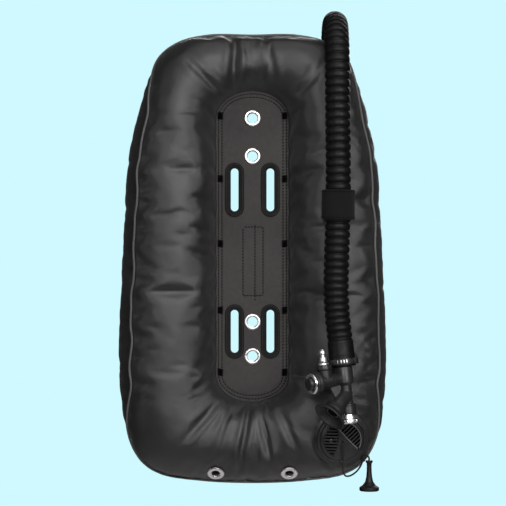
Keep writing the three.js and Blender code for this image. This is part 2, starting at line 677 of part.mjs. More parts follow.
function inflatorBody() {
  const shoulder = 3;
  const stem = toSolid(turned([
    [0, -gap], [body.barb, -gap], [body.barb, -cuff.length], [body.upper, -cuff.length - gap],
    [body.upper, body.upperEnd], [body.lower, body.upperEnd - shoulder], [body.lower, body.lowerEnd],
    [body.collar, body.lowerEnd - 1], [body.collar, body.bottom], [0, body.bottom],
  ], 16));
  const arm = toSolid(placed(turned([
    [0, 0], [branch.tube, 0], [branch.tube, branch.housingStart],
    [branch.housing, branch.housingStart + 2], [branch.housing, branch.collarStart],
    [branch.collar, branch.collarStart + 2], [branch.collar, branch.end], [0, branch.end],
  ], 16), branchFoot, branchAxis));
  const tower = toSolid(placed(rod(branch.tower, 0, branch.towerTop, 16), towerFoot, zAxis));
  const duct = toSolid(placed(rod(mouth.duct, 0, mouth.ductEnd, 16), mouthFoot, mouthAxis));

  const webShape = new THREE.Shape([
    new THREE.Vector2(4, branch.z - 4), new THREE.Vector2(26, branch.z - 6),
    new THREE.Vector2(15, mouth.z - 8),
  ]);
  const web = new THREE.ExtrudeGeometry(webShape, { depth: 2.4, bevelEnabled: false });
  web.translate(0, 0, -1.2).rotateX(Math.PI / 2).rotateZ(Math.PI + branchTurn);

  const mainBore = toSolid(turned([
    [0, 5], [body.bore, 5], [body.bore, body.seatTop], [body.seat, body.seatTop],
    [body.seat, body.seatTop - body.seatSheet], [body.bore, body.seatTop - body.seatSheet],
    [body.bore, body.lowerEnd - 2], [deflate.stem + gap, body.lowerEnd - 2],
    [deflate.stem + gap, body.lowerEnd - 4], [body.collarBore, body.lowerEnd - 4],
    [body.collarBore, body.bottom - 5], [0, body.bottom - 5],
  ]));
  const recessFoot = branch.end - branch.recessDepth;
  const armBore = toSolid(placed(turned([
    [0, 0], [branch.bore, 0], [branch.bore, branch.seatAt - branch.seatSheet],
    [branch.seat, branch.seatAt - branch.seatSheet], [branch.seat, branch.seatAt],
    [branch.bore, branch.seatAt], [branch.bore, recessFoot], [branch.recess, recessFoot],
    [branch.recess, branch.end + 5], [0, branch.end + 5],
  ]), branchFoot, branchAxis));
  const towerBore = toSolid(placed(rod(nipple.spigot + gap, 0, branch.towerTop + 5, 8), towerFoot, zAxis));
  const ductBore = toSolid(placed(rod(mouth.bore, 0, mouth.ductEnd + 5, 12), mouthFoot, mouthAxis));
  const outside = stem.add(arm).add(tower).add(duct).add(toSolid(web));
  return toGeometry(outside.subtract(mainBore).subtract(armBore).subtract(towerBore).subtract(ductBore));
}

function nippleSolid() {
  const { spigot, bore, base, shaft, groove, height } = nipple;
  return turned([
    [bore, -8], [spigot, -8], [spigot, gap], [base, gap], [base, 4], [shaft, 6], [shaft, 11],
    [groove, 12], [groove, 15], [shaft, 16], [shaft, height - 2], [groove, height], [bore, height],
  ], 16);
}

// The mouthpiece: a round sleeve on the duct that opens into a flared oval lip.
function mouthpieceSolid() {
  const profile = [
    [mouth.duct + gap, mouth.start, 0], [mouth.sleeve, mouth.start, 0], [mouth.sleeve, mouth.sleeveEnd, 0],
    [mouth.sleeve + 2.5, mouth.sleeveEnd + 4.5, 0.5], [mouth.lip, mouth.end - 1.5, 1],
    [mouth.lip - 0.6, mouth.end, 1],
    [mouth.sleeve + 0.5, mouth.end - 5, 0.7], [mouth.duct + gap, mouth.ductEnd + 1, 0],
  ];
  const count = 24;
  const rings = Array.from({ length: count }, (_, i) => {
    const angle = (2 * Math.PI * i) / count;
    return profile.map(([radius, height, oval]) => {
      const narrow = THREE.MathUtils.lerp(1, mouth.lipOval, oval);
      return new THREE.Vector3(radius * narrow * Math.cos(angle), radius * Math.sin(angle), height);
    });
  });
  return ringSolid(rings);
}

function addInflator() {
  const group = placedGroup(hoseEnd, inflatorUp);
  addPart('inflator_body', inflatorBody(), plastic, group);
  const cuffBore = body.barb + gap;
  addPart('hose_end_cuff', ring(cuffBore, cuff.outer, -cuff.length, -gap, 22), rubber, group);
  addPart('cuff_cable_tie', ring(
    cuff.outer + gap, cuff.outer + gap + tie.thickness, tie.place - tie.width / 2, tie.place + tie.width / 2, 22,
  ), plastic, group);

  const nippleFoot = towerFoot.clone().addScaledVector(zAxis, branch.towerTop);
  addPart('quick_connect_nipple', nippleSolid(), chrome, placedGroup(nippleFoot, zAxis, group));

  const arm = placedGroup(branchFoot, branchAxis, group);
  const recessFoot = branch.end - branch.recessDepth;
  const buttonBore = button.radius - button.skirt;
  addPart('inflate_button', turned([
    [buttonBore, button.start], [button.radius, button.start], [button.radius, button.shoulder],
    [button.radius * 0.7, button.end - 0.8], [0, button.end], [0, button.shoulder - 2],
    [buttonBore, button.shoulder - 2],
  ]), plastic, arm);
  addPart('inflate_button_ring', ring(
    branch.recess, branch.recess + 3.1, branch.end + gap, branch.end + 2.3,
  ), chrome, arm);
  const plugTop = branch.seatAt - branch.seatSheet - gap;
  addPart('inflate_valve_stem', turned([
    [0, plugTop - 2.2], [branch.bore - cutGap, plugTop - 2.2], [branch.bore - cutGap, plugTop],
    [button.stem, plugTop], [button.stem, button.shoulder - 2 - gap], [0, button.shoulder - 2 - gap],
  ], 12), steel, arm);
  addPart('inflate_spring', coilSpring(
    (branch.bore + buttonBore) / 2, 0.6, recessFoot + gap, button.shoulder - 2 - gap, 4,
  ), steel, arm);

  const cupBore = deflate.radius - deflate.skirt;
  const cupFloor = deflate.bottom + 2.5;
  addPart('deflate_button', turned([
    [cupBore, deflate.top], [deflate.radius, deflate.top], [deflate.radius, body.bottom - deflate.travel - 1],
    [deflate.flare, body.bottom - deflate.travel - 1.8], [deflate.flare, deflate.bottom + 1],
    [deflate.flare - 1, deflate.bottom], [0, deflate.bottom], [0, cupFloor], [cupBore, cupFloor],
  ]), chrome, group);
  const discFoot = body.seatTop + gap;
  addPart('deflate_valve_stem', turned([
    [0, cupFloor + gap], [deflate.stem, cupFloor + gap], [deflate.stem, discFoot],
    [deflate.disc, discFoot], [deflate.disc, discFoot + 2], [0, discFoot + 2],
  ], 12), steel, group);
  addPart('deflate_spring', coilSpring(
    (deflate.stem + cupBore) / 2 + 1.2, 0.6, cupFloor + gap, body.lowerEnd - 4 - gap, 4,
  ), steel, group);
  const lipAcross = new THREE.Vector3(mouthAxis.z, 0, -mouthAxis.x).normalize();
  addPart('mouthpiece', mouthpieceSolid(), rubber, placedGroup(mouthFoot, mouthAxis, group, lipAcross));
}

// ---------------------------------------------------------------- dump valve
function addDumpValve() {
  const group = placedGroup(dumpSeat.point, dumpSeat.normal);
  const floorTop = -dump.depth + dump.floor;
  const wallBore = dump.outer - dump.wall;
  const capSkirt = wallBore - cutGap;
  const capRim = capSkirt - dump.capWall;
  const crown = capRim * dump.capCrown;
  const poppet = capRim - dump.poppetClearance;
  const port = poppet - dump.seat;
  addPart('dump_valve_base', turned([
    [port, -dump.depth], [dump.outer, -dump.depth], [dump.outer, dump.stand - 1],
    [dump.outer - 1, dump.stand], [wallBore, dump.stand], [wallBore, floorTop], [port, floorTop],
  ], 28), plastic, group);
  const sealTop = floorTop + gap + dump.seal;
  addPart('dump_valve_seal', ring(port + 0.5, poppet, floorTop + gap, sealTop), rubber, group);
  const poppetFoot = sealTop + gap;
  const poppetTop = poppetFoot + dump.poppetSheet;
  const capTop = dump.stand + dump.capRise;
  const capUnder = capTop - dump.capSheet;
  addPart('dump_valve_poppet', turned([
    [0, poppetFoot], [poppet, poppetFoot], [poppet, poppetTop], [dump.stem, poppetTop],
    [dump.stem, capUnder - dump.travel - 2], [0, capUnder - dump.travel - 2],
  ], 22), plastic, group);
  addPart('dump_valve_cap', turned([
    [capRim, floorTop + gap], [capSkirt, floorTop + gap], [capSkirt, dump.stand + 0.6],
    [capRim, dump.stand + 1.6], [capRim - 1.5, capTop - 3], [crown, capTop - 0.8],
    [dump.cordHole, capTop], [dump.cordHole, capUnder], [crown, capUnder - 0.8],
    [capRim - 4, capTop - 5], [capRim, dump.stand - 2],
  ], 28), plastic, group);
  addPart('dump_valve_spring', coilSpring(9, 0.8, poppetTop + gap, capUnder - 1, 4), steel, group);
  addPart('dump_pull_cord', tubeAlong(smoothRoute(cordRoute), cordDiameter / 2, 8, 36), rubber);

  const cordEnd = new THREE.Vector3(...cordRoute.at(-1));
  const knobGroup = placedGroup(cordEnd, zAxis);
  addPart('pull_knob', turned([
    [knob.bore, -gap], [knob.collar, -gap], [knob.collar, -3.2], [knob.stem, -4.4],
    [knob.stem + 0.5, -22], [knob.stem + 2.6, -31], [knob.flare, -knob.length + 4.5],
    [knob.flare, -knob.length + 1], [knob.flare - 1, -knob.length], [knob.bore + 1.6, -knob.length],
    [knob.bore, -knob.length + 3],
  ], 18), plastic, knobGroup);
}

// A small loop on the cell's edge that carries the cord to the knob.
function addGuideLoop() {
  const cord = smoothRoute(cordRoute);
  const group = placedGroup(cord.getPointAt(guide.share), cord.getTangentAt(guide.share));
  addPart('cord_guide_loop', turned([
    [guide.bore, -guide.half], [guide.outer, -guide.half], [guide.outer, guide.half], [guide.bore, guide.half],
  ], 12), rubber, group);
}

addAirCell();
addCentrePanel();
addDrainGrommets();
addElbowAndHose();
addHoseRetainer();
addInflator();
addDumpValve();
addGuideLoop();

export default model;
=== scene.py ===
"""Looks of the buoyancy wing: a ring-shaped air cell with its hose, inflator and dump valve."""
import math

import bmesh
import bpy
import numpy as np
from mathutils import Matrix, Vector
from mathutils.geometry import delaunay_2d_cdt


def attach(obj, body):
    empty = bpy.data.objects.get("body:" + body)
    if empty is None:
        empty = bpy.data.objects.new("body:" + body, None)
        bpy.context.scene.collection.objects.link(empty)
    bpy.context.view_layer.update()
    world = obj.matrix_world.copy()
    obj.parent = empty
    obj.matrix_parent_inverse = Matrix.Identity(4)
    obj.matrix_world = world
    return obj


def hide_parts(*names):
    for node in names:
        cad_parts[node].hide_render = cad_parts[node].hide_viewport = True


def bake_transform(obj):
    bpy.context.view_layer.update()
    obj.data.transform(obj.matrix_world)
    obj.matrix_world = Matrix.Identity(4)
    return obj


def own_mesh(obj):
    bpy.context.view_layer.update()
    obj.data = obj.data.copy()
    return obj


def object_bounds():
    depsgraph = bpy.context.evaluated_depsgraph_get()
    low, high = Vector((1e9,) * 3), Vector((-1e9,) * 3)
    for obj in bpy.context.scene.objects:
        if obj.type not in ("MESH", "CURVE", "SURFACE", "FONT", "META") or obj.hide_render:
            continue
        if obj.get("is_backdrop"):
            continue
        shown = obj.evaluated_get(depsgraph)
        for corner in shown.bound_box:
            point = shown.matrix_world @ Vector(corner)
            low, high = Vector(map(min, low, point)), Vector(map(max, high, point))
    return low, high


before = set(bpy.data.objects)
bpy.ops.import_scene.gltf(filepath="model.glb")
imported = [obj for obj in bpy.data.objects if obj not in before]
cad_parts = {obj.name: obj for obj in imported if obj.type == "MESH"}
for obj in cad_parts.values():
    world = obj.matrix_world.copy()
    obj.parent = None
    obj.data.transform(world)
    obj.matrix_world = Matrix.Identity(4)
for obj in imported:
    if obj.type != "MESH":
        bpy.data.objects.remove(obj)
cad_box = [list(corner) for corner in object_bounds()]

MM = 0.001

# ---------------------------------------------------------------- shape of the air cell, in mm
OUTLINE = [
    (0, 276), (60, 276), (101, 266), (127, 246), (143, 208), (157, 160), (168, 107), (173, 41),
    (177, -41), (180.5, -110), (181.5, -173), (178, -222), (170.5, -267), (151, -304), (125, -321),
    (70, -330), (0, -333),
]
# half width, top, bottom and height of each end's arc
PANEL_HALF, PANEL_TOP, PANEL_BOTTOM, PANEL_RISE = 50, 201, -224, 37
SPINE_TOP, SPINE_BOTTOM = PANEL_TOP - PANEL_RISE, PANEL_BOTTOM + PANEL_RISE
WALL, FLANGE, MID_PLANE = 1.2, 8, 3.25
STACK = 2 * MID_PLANE  # from the front sheet's face to the back one's
FACE = WALL + 0.15  # from the mid plane to a flange's outer face
RISE = {-1: (47, 28, 38), 1: (57, 32, 45)}  # side, top and bottom crest heights, diver's side and tank's
SEAM_SIDE, SEAM_END = math.radians(145), math.radians(176)  # where a seam sits round the section: sides, ends
SEAM_TURN = math.radians(38)  # direction, from level, where the front seam has reached the edge
SLOT_WIDTH, SLOT_LENGTH = 10.5, 59
SLOTS = {
    "upper_left": (-24.5, 66), "upper_right": (24.5, 66),
    "lower_left": (-24.5, -128), "lower_right": (24.5, -128),
}
BOLT_ROWS = [164, 112, -115, -162]
DRAIN_X, DRAIN_Z = 50, -319.5
ELBOW_X, ELBOW_Z = 109, 168
DUMP_X, DUMP_Z = 119.2, -270
DUMP_HOLE, ELBOW_HOLE, DRAIN_HOLE = 32.8, 24.6, 7.0  # radii of the holes in the shell

HOSE_ROUTE = [
    (113, 93, 214), (113, 93, 224), (113, 89.4, 243), (113.1, 78.4, 263), (113.2, 63.2, 278),
    (113.2, 43, 290), (113.3, 21, 295), (113.3, 0, 293.5), (113.4, -20, 286.5), (113.4, -38, 273.3),
    (113.5, -50.8, 256.5), (113.6, -58.2, 237), (113.7, -60.8, 216), (113.8, -62, 190),
    (114, -63.2, 160), (114.2, -64.5, 130), (114.4, -66, 100), (114.4, -67, 70), (114.2, -68, 40),
    (113.4, -68.5, 10), (112.4, -69, -20), (111.7, -69, -50), (111.8, -69.5, -80),
    (113.2, -70.6, -105), (115.1, -72.3, -122), (116.7, -73.7, -137),
]
CORD_ROUTE = [
    (121.8, -53.6, -271.9), (122.4, -56.8, -272.8), (122.8, -59, -276), (122.6, -58, -282),
    (122.3, -53.5, -292), (122, -48.5, -302), (122, -42, -311), (123.5, -33, -319),
    (128, -24, -323.5), (135, -18, -322.5), (142, -16, -317.5), (147.5, -15.5, -310),
    (150.2, -14.5, -303), (152.8, -12, -298), (156.2, -9.2, -297), (158.8, -7.4, -299.6),
    (159.4, -6.8, -303.5),
]
CORD_RADIUS = 1.25


# ---------------------------------------------------------------- curves
def spline(points, closed=False, per=12):
    """Centripetal Catmull-Rom curve through points, as a list of samples."""
    p = np.array(points, float)
    count = len(p)
    if closed:
        control = [(p[i - 1], p[i], p[(i + 1) % count], p[(i + 2) % count]) for i in range(count)]
    else:
        ext = np.vstack([2 * p[0] - p[1], p, 2 * p[-1] - p[-2]])
        control = [tuple(ext[i:i + 4]) for i in range(count - 1)]
    out = []
    for a, b, c, d in control:
        d0, d1, d2 = (max(np.linalg.norm(q - r) ** 0.5, 1e-4) for q, r in ((b, a), (c, b), (d, c)))
        m1 = ((b - a) / d0 - (c - a) / (d0 + d1) + (c - b) / d1) * d1
        m2 = ((c - b) / d1 - (d - b) / (d1 + d2) + (d - c) / d2) * d1
        for k in range(per):
            t = k / per
            square, cube = -3 * b + 3 * c - 2 * m1 - m2, 2 * b - 2 * c + m1 + m2
            out.append(b + m1 * t + square * t ** 2 + cube * t ** 3)
    if not closed:
        out.append(p[-1])
    return np.array(out)


def run_along(points):
    """Length run from a line's start to each of its points."""
    return np.concatenate([[0], np.cumsum(np.linalg.norm(np.diff(points, axis=0), axis=1))])


def resample(points, step):
    """The same line with points an even distance apart."""
    p = np.array(points, float)
    run = run_along(p)
    count = max(2, int(round(run[-1] / step)) + 1)
    at = np.linspace(0, run[-1], count)
    return np.column_stack([np.interp(at, run, p[:, i]) for i in range(p.shape[1])])


def polar(radius, angle):
    return radius * math.cos(angle), radius * math.sin(angle)


def smoothstep(x, low=0.0, high=1.0):
    t = np.clip((x - low) / (high - low), 0, 1)
    return t * t * (3 - 2 * t)


# ---------------------------------------------------------------- the cell's surface
_ring = spline(OUTLINE + [(-x, z) for x, z in OUTLINE[-2:0:-1]], closed=True, per=14)
_edge_from, _edge = _ring, np.roll(_ring, -1, axis=0) - _ring


def reach(origin_z, dir_x, dir_z):
    """Distance from points on the spine to the outline, along unit directions."""
    cross = dir_x[:, None] * _edge[:, 1] - dir_z[:, None] * _edge[:, 0]
    cross = np.where(np.abs(cross) < 1e-9, 1e-9, cross)
    dz = _edge_from[:, 1] - origin_z[:, None]
    along = (_edge_from[:, 0] * _edge[:, 1] - dz * _edge[:, 0]) / cross
    share = (_edge_from[:, 0] * dir_z[:, None] - dz * dir_x[:, None]) / cross
    hit = (along > 0) & (share >= -1e-6) & (share <= 1 + 1e-6)
    return np.where(hit, along, 1e9).min(axis=1)


class Stations:
    """Rays from the spine through the panel's edge to the outline."""

    def __init__(self, origin_z, angle):
        self.z, self.dx, self.dz = origin_z, np.cos(angle), np.sin(angle)
        self.inner = 1 / np.hypot(self.dx / PANEL_HALF, self.dz / PANEL_RISE)
        self.width = reach(origin_z, self.dx, self.dz) - self.inner
        end = self.dz ** 2
        self.rise = {
            side: RISE[side][0] * (1 - end) + np.where(self.dz > 0, RISE[side][1], RISE[side][2]) * end
            for side in (-1, 1)
        }

    def place(self, out, y):
        radius = self.inner + out
        return np.stack([self.dx * radius, y + 0 * radius, self.z + self.dz * radius], axis=-1)

    def shell(self, side, angle):
        y = MID_PLANE + side * (FACE + self.rise[side] * np.sin(angle))
        return self.place(self.width / 2 * (1 - np.cos(angle)), y)


def ring_stations(step):
    """Stations about step mm apart at the outline."""
    side = max(4, int(round((SPINE_TOP - SPINE_BOTTOM) / step)))
    fan = max(6, int(round(math.pi * 150 / step)))
    t = np.arange(side) / side
    a = math.pi * np.arange(fan) / fan
    z = np.concatenate([
        SPINE_BOTTOM + t * (SPINE_TOP - SPINE_BOTTOM), 0 * a + SPINE_TOP,
        SPINE_TOP - t * (SPINE_TOP - SPINE_BOTTOM), 0 * a + SPINE_BOTTOM,
    ])
    angle = np.concatenate([0 * t, a, 0 * t + math.pi, math.pi + a])
    return Stations(z, angle)


def shell_face(x, z, side):
    """Point and outward normal of the shell at a place seen from the front, in mm."""
    def depth(px, pz):
        origin = min(max(pz, SPINE_BOTTOM), SPINE_TOP)
        st = Stations(np.array([origin]), np.array([math.atan2(pz - origin, px)]))
        share = (math.hypot(px, pz - origin) - st.inner) / st.width
        return st.shell(side, np.arccos(1 - 2 * share))[0, 1]
    h = 0.5
    slope_x = (depth(x + h, z) - depth(x - h, z)) / (2 * h)
    slope_z = (depth(x, z + h) - depth(x, z - h)) / (2 * h)
    normal = Vector((-side * slope_x, side, -side * slope_z)).normalized()
    return Vector((x, depth(x, z), z)), normal


# ---------------------------------------------------------------- mesh helpers
def mesh_object(name, verts, faces, smooth=True, sharp=None):
    mesh = bpy.data.meshes.new(name)
    mesh.from_pydata([tuple(v) for v in verts], [], [tuple(int(i) for i in f) for f in faces])
    mesh.validate()
    obj = bpy.data.objects.new(name, mesh)
    bpy.context.scene.collection.objects.link(obj)
    if smooth:
        mesh.shade_smooth()
    if sharp is not None:
        mesh.set_sharp_from_angle(angle=math.radians(sharp))
    return obj


def grid_faces(rows, columns, wrap_rows=False, wrap_columns=False, offset=0):
    i = np.arange(rows if wrap_rows else rows - 1)
    j = np.arange(columns if wrap_columns else columns - 1)
    a, b = np.meshgrid(i, j, indexing="ij")
    c, d = (a + 1) % rows, (b + 1) % columns
    quads = np.stack([a * columns + b, c * columns + b, c * columns + d, a * columns + d], axis=-1)
    return (quads.reshape(-1, 4) + offset).tolist()


def outward(obj):
    """Makes a closed mesh's faces point out."""
    work = bmesh.new()
    work.from_mesh(obj.data)
    bmesh.ops.recalc_face_normals(work, faces=work.faces)
    work.to_mesh(obj.data)
    work.free()
    return obj


def frame_axes(axis, across=None):
    z = Vector(axis).normalized()
    if across is None:
        turn = Vector((0, 0, 1)).rotation_difference(z)
        return Matrix([turn @ Vector((1, 0, 0)), turn @ Vector((0, 1, 0)), z]).transposed()
    y = Vector(across).normalized()
    return Matrix([y.cross(z), y, z]).transposed()


class Place:
    """A spot with its own axes, in mm: +Z along the piece's axis."""

    def __init__(self, point, axis, across=None, parent=None):
        turn, point = frame_axes(axis, across), Vector(point)
        if parent is not None:
            point = parent.point + parent.turn @ point
            turn = parent.turn @ turn
        self.point, self.turn = point, turn

    def world(self, points):
        """Points of this place's own axes, in mm, as metres of the row frame."""
        local = np.array(points, float).reshape(-1, 3)
        return (local @ np.array(self.turn).T + np.array(self.point)) * MM


def upright(point, parent=None):
    """A place whose +Z is that of its parent, or the frame's."""
    return Place(point, (0, 0, 1), None, parent)


def filleted(profile, radius, closed=True):
    """A profile of (radius, height) whose corners are rounded, each by no more than its sides allow."""
    steps = 3
    p = [np.array(q, float) for q in profile]
    out, count = [], len(p)
    for i, corner in enumerate(p):
        if not closed and i in (0, count - 1):
            out.append(corner)
            continue
        before, after = p[i - 1] - corner, p[(i + 1) % count] - corner
        lb, la = np.linalg.norm(before), np.linalg.norm(after)
        cut = min(radius, 0.45 * lb, 0.45 * la)
        if cut < 0.02 or corner[0] == 0:
            out.append(corner)
            continue
        start, end = corner + before / lb * cut, corner + after / la * cut
        for k in range(steps + 1):
            t = k / steps
            out.append((1 - t) ** 2 * start + 2 * t * (1 - t) * corner + t ** 2 * end)
    return out


def lathe(name, profile, place, segments, fillet, oval=None):
    """A turned solid about a place's +Z. Profiles with points on the axis are closed along it."""
    on_axis = [i for i, q in enumerate(profile) if q[0] == 0]
    if on_axis:
        start = next(i for i in on_axis if profile[i - 1][0] == 0)
        profile = list(profile[start:]) + list(profile[:start])
    rounded = filleted(profile, fillet, closed=not on_axis)
    angle = np.arange(segments) * 2 * math.pi / segments
    verts, faces, rows = [], [], []
    for index, (r, z) in enumerate(rounded):
        if r == 0:
            rows.append([len(verts)])
            verts.append((0, 0, z))
            continue
        narrow = 1 if oval is None else oval(r, z)
        rows.append(list(range(len(verts), len(verts) + segments)))
        verts += [(r * narrow * math.cos(a), r * math.sin(a), z) for a in angle]
    pairs = list(zip(rows, rows[1:])) + ([] if on_axis else [(rows[-1], rows[0])])
    for a, b in pairs:
        for k in range(segments):
            n = (k + 1) % segments
            if len(a) == 1 and len(b) == 1:
                continue
            if len(a) == 1:
                faces.append((a[0], b[k], b[n]))
            elif len(b) == 1:
                faces.append((a[k], a[n], b[0]))
            else:
                faces.append((a[k], a[n], b[n], b[k]))
    return outward(mesh_object(name, place.world(verts), faces, sharp=40))


def transported(path):
    """Tangents, and normals that turn no more than the path does."""
    p = np.array(path, float)
    tangent = np.gradient(p, axis=0)
    tangent /= np.linalg.norm(tangent, axis=1)[:, None]
    normal = np.zeros_like(p)
    seed = np.array([1.0, 0, 0]) if abs(tangent[0][0]) < 0.9 else np.array([0, 1.0, 0])
    normal[0] = seed - tangent[0] * seed.dot(tangent[0])
    normal[0] /= np.linalg.norm(normal[0])
    for i in range(1, len(p)):
        n = normal[i - 1] - tangent[i] * normal[i - 1].dot(tangent[i])
        normal[i] = n / np.linalg.norm(n)
    return p, tangent, normal, np.cross(tangent, normal)


def tube(name, path, radius, sides=12, closed=False):
    """A tube along a path in mm. radius is a number or one number for each point."""
    p, _, n, b = transported(path)
    if closed:
        p, n, b = p[:-1], n[:-1], b[:-1]
    radius = np.broadcast_to(np.asarray(radius, float), (len(p),))
    angle = np.arange(sides) * 2 * math.pi / sides
    spokes = n[:, None] * np.cos(angle)[None, :, None] + b[:, None] * np.sin(angle)[None, :, None]
    verts = (p[:, None] + spokes * radius[:, None, None]).reshape(-1, 3) * MM
    faces = grid_faces(len(p), sides, wrap_rows=closed, wrap_columns=True)
    if not closed:
        faces.append(list(range(sides))[::-1])
        faces.append(list(range((len(p) - 1) * sides, len(p) * sides)))
    return outward(mesh_object(name, verts, faces))


def apply_modifier(obj, modifier):
    bpy.context.view_layer.objects.active = obj
    bpy.ops.object.select_all(action="DESELECT")
    obj.select_set(True)
    bpy.ops.object.modifier_apply(modifier=modifier.name)


def thickened(obj, depth, facing, sharp):
    """Gives an open sheet its thickness in mm, behind the side that looks along facing."""
    if obj.data.polygons[0].normal.dot(facing) < 0:
        obj.data.flip_normals()
    solid = obj.modifiers.new("thick", "SOLIDIFY")
    solid.thickness, solid.offset = depth * MM, -1
    apply_modifier(obj, solid)
    obj.data.shade_smooth()
    obj.data.set_sharp_from_angle(angle=math.radians(sharp))
    return obj


def joined(name, pieces):
    """Several meshes as one piece."""
    bpy.ops.object.select_all(action="DESELECT")
    for piece in pieces:
        piece.select_set(True)
    bpy.context.view_layer.objects.active = pieces[0]
    bpy.ops.object.join()
    pieces[0].name = name
    return pieces[0]


def stitches(name, rows, length=3.0, pitch=4.4, radius=0.38):
    """Threads lying along rows of points in mm. A row is (points, outward normals)."""
    section = [(0.0, 0.0), (0.18, 0.8), (0.5, 1.0), (0.82, 0.8), (1.0, 0.0)]
    verts, faces = [], []
    for points, normals in rows:
        p = np.array(points, float)
        n = np.array(normals, float)
        run = run_along(p)
        count = int(run[-1] // pitch)
        if count < 1:
            continue
        for start in np.arange(count) * pitch + (run[-1] - (count - 1) * pitch - length) / 2:
            ends = [[np.interp(s, run, p[:, k]) for k in range(3)] for s in (start, start + length)]
            a, b = np.array(ends)
            up = np.array([np.interp(start + length / 2, run, n[:, k]) for k in range(3)])
            up /= np.linalg.norm(up)
            side = np.cross(b - a, up)
            side /= max(np.linalg.norm(side), 1e-9)
            first = len(verts)
            for t, size in section:
                centre = a + (b - a) * t + up * (0.25 + 0.35 * (size - 1))
                for k in range(5):
                    turn = 2 * math.pi * k / 5
                    r = radius * max(size, 0.15)
                    verts.append(centre + side * r * math.cos(turn) + up * r * math.sin(turn))
            faces += grid_faces(len(section), 5, wrap_columns=True, offset=first)
            faces.append([first + k for k in range(5)][::-1])
            last = first + 5 * (len(section) - 1)
            faces.append([last + k for k in range(5)])
    return outward(mesh_object(name, np.array(verts) * MM, faces))


# ---------------------------------------------------------------- materials
def new_material(name, color, roughness, metallic=0.0, specular=0.5, sheen=0.0):
    material = bpy.data.materials.new(name)
    material.use_nodes = True
    shader = material.node_tree.nodes["Principled BSDF"]
    shader.inputs["Base Color"].default_value = (*color, 1)
    shader.inputs["Roughness"].default_value = roughness
    shader.inputs["Metallic"].default_value = metallic
    shader.inputs["Specular IOR Level"].default_value = specular
    shader.inputs["Sheen Weight"].default_value = sheen
    shader.inputs["Sheen Roughness"].default_value = 0.5
    return material, material.node_tree, shader


def node(tree, kind, inputs=None, **settings):
    made = tree.nodes.new(kind)
    for key, value in settings.items():
        setattr(made, key, value)
    for key, value in (inputs or {}).items():
        if hasattr(value, "is_linked"):
            tree.links.new(value, made.inputs[key])
        else:
            made.inputs[key].default_value = value
    return made


def noise(tree, vector, scale, detail=4.0, roughness=0.55):
    made = node(tree, "ShaderNodeTexNoise", {
        "Vector": vector, "Scale": scale, "Detail": detail, "Roughness": roughness,
    })
    return made.outputs["Fac"]


def math_node(tree, operation, a, b):
    return node(tree, "ShaderNodeMath", {0: a, 1: b}, operation=operation).outputs[0]


def mapped(tree, value, low, high, to_low, to_high):
    return node(tree, "ShaderNodeMapRange", {
        "Value": value, "From Min": low, "From Max": high, "To Min": to_low, "To Max": to_high,
    }).outputs["Result"]


def tinted(tree, factor, dark, light):
    return node(tree, "ShaderNodeMix", {"Factor": factor, 6: (*dark, 1), 7: (*light, 1)},
                data_type="RGBA").outputs[2]


def bumped(tree, shader, height, strength, distance):
    bump = node(tree, "ShaderNodeBump", {
        "Height": height, "Strength": strength, "Distance": distance,
    })
    tree.links.new(bump.outputs["Normal"], shader.inputs["Normal"])


def weave_height(tree, vector, threads_per_m):
    """Over and under threads from two crossed sets of lines."""
    parts = node(tree, "ShaderNodeSeparateXYZ", {0: vector})
    turn = math.pi * threads_per_m
    across = math_node(tree, "ADD", parts.outputs["X"], math_node(tree, "MULTIPLY", parts.outputs["Y"], 0.8))
    warp = math_node(tree, "SINE", math_node(tree, "MULTIPLY", across, turn), 0.0)
    weft = math_node(tree, "SINE", math_node(tree, "MULTIPLY", parts.outputs["Z"], turn), 0.0)
    return math_node(tree, "MULTIPLY", warp, weft)


def fabric(name, color, light, roughness, threads, weave=0.25, crinkle=0.4, sheen=0.1, specular=0.5):
    """Coated or plain cloth: weave, soft crinkles, uneven tone and a worn, paler bloom."""
    material, tree, shader = new_material(name, color, roughness, specular=specular, sheen=sheen)
    place = node(tree, "ShaderNodeTexCoord").outputs["Object"]
    patch = noise(tree, place, 9.0, 3.0)
    dust = noise(tree, place, 160.0, 5.0, 0.65)
    tone = math_node(tree, "ADD", math_node(tree, "MULTIPLY", patch, 0.6),
                     math_node(tree, "MULTIPLY", dust, 0.4))
    shade = mapped(tree, tone, 0.35, 0.65, 0.0, 1.0)
    tree.links.new(tinted(tree, shade, color, light), shader.inputs["Base Color"])
    rough = mapped(tree, noise(tree, place, 38.0, 4.0), 0.3, 0.7, roughness - 0.07, roughness + 0.08)
    tree.links.new(rough, shader.inputs["Roughness"])
    crease = noise(tree, place, 26.0, 5.0, 0.6)
    threads_h = math_node(tree, "MULTIPLY", weave_height(tree, place, threads), weave)
    height = math_node(tree, "ADD", math_node(tree, "MULTIPLY", crease, crinkle * 8), threads_h)
    bumped(tree, shader, height, 0.5, 0.0006)
    return material


def moulded(name, color, light, roughness, specular=0.5):
    """Moulded plastic or rubber: fine grain, faint swirls of tone, uneven gloss."""
    material, tree, shader = new_material(name, color, roughness, specular=specular)
    place = node(tree, "ShaderNodeTexCoord").outputs["Object"]
    tone = mapped(tree, noise(tree, place, 45.0, 5.0, 0.6), 0.35, 0.68, 0.0, 1.0)
    tree.links.new(tinted(tree, tone, color, light), shader.inputs["Base Color"])
    rough = mapped(tree, noise(tree, place, 120.0, 3.0), 0.3, 0.7, roughness - 0.08, roughness + 0.09)
    tree.links.new(rough, shader.inputs["Roughness"])
    bumped(tree, shader, noise(tree, place, 900.0, 3.0), 0.35, 0.00012)
    return material


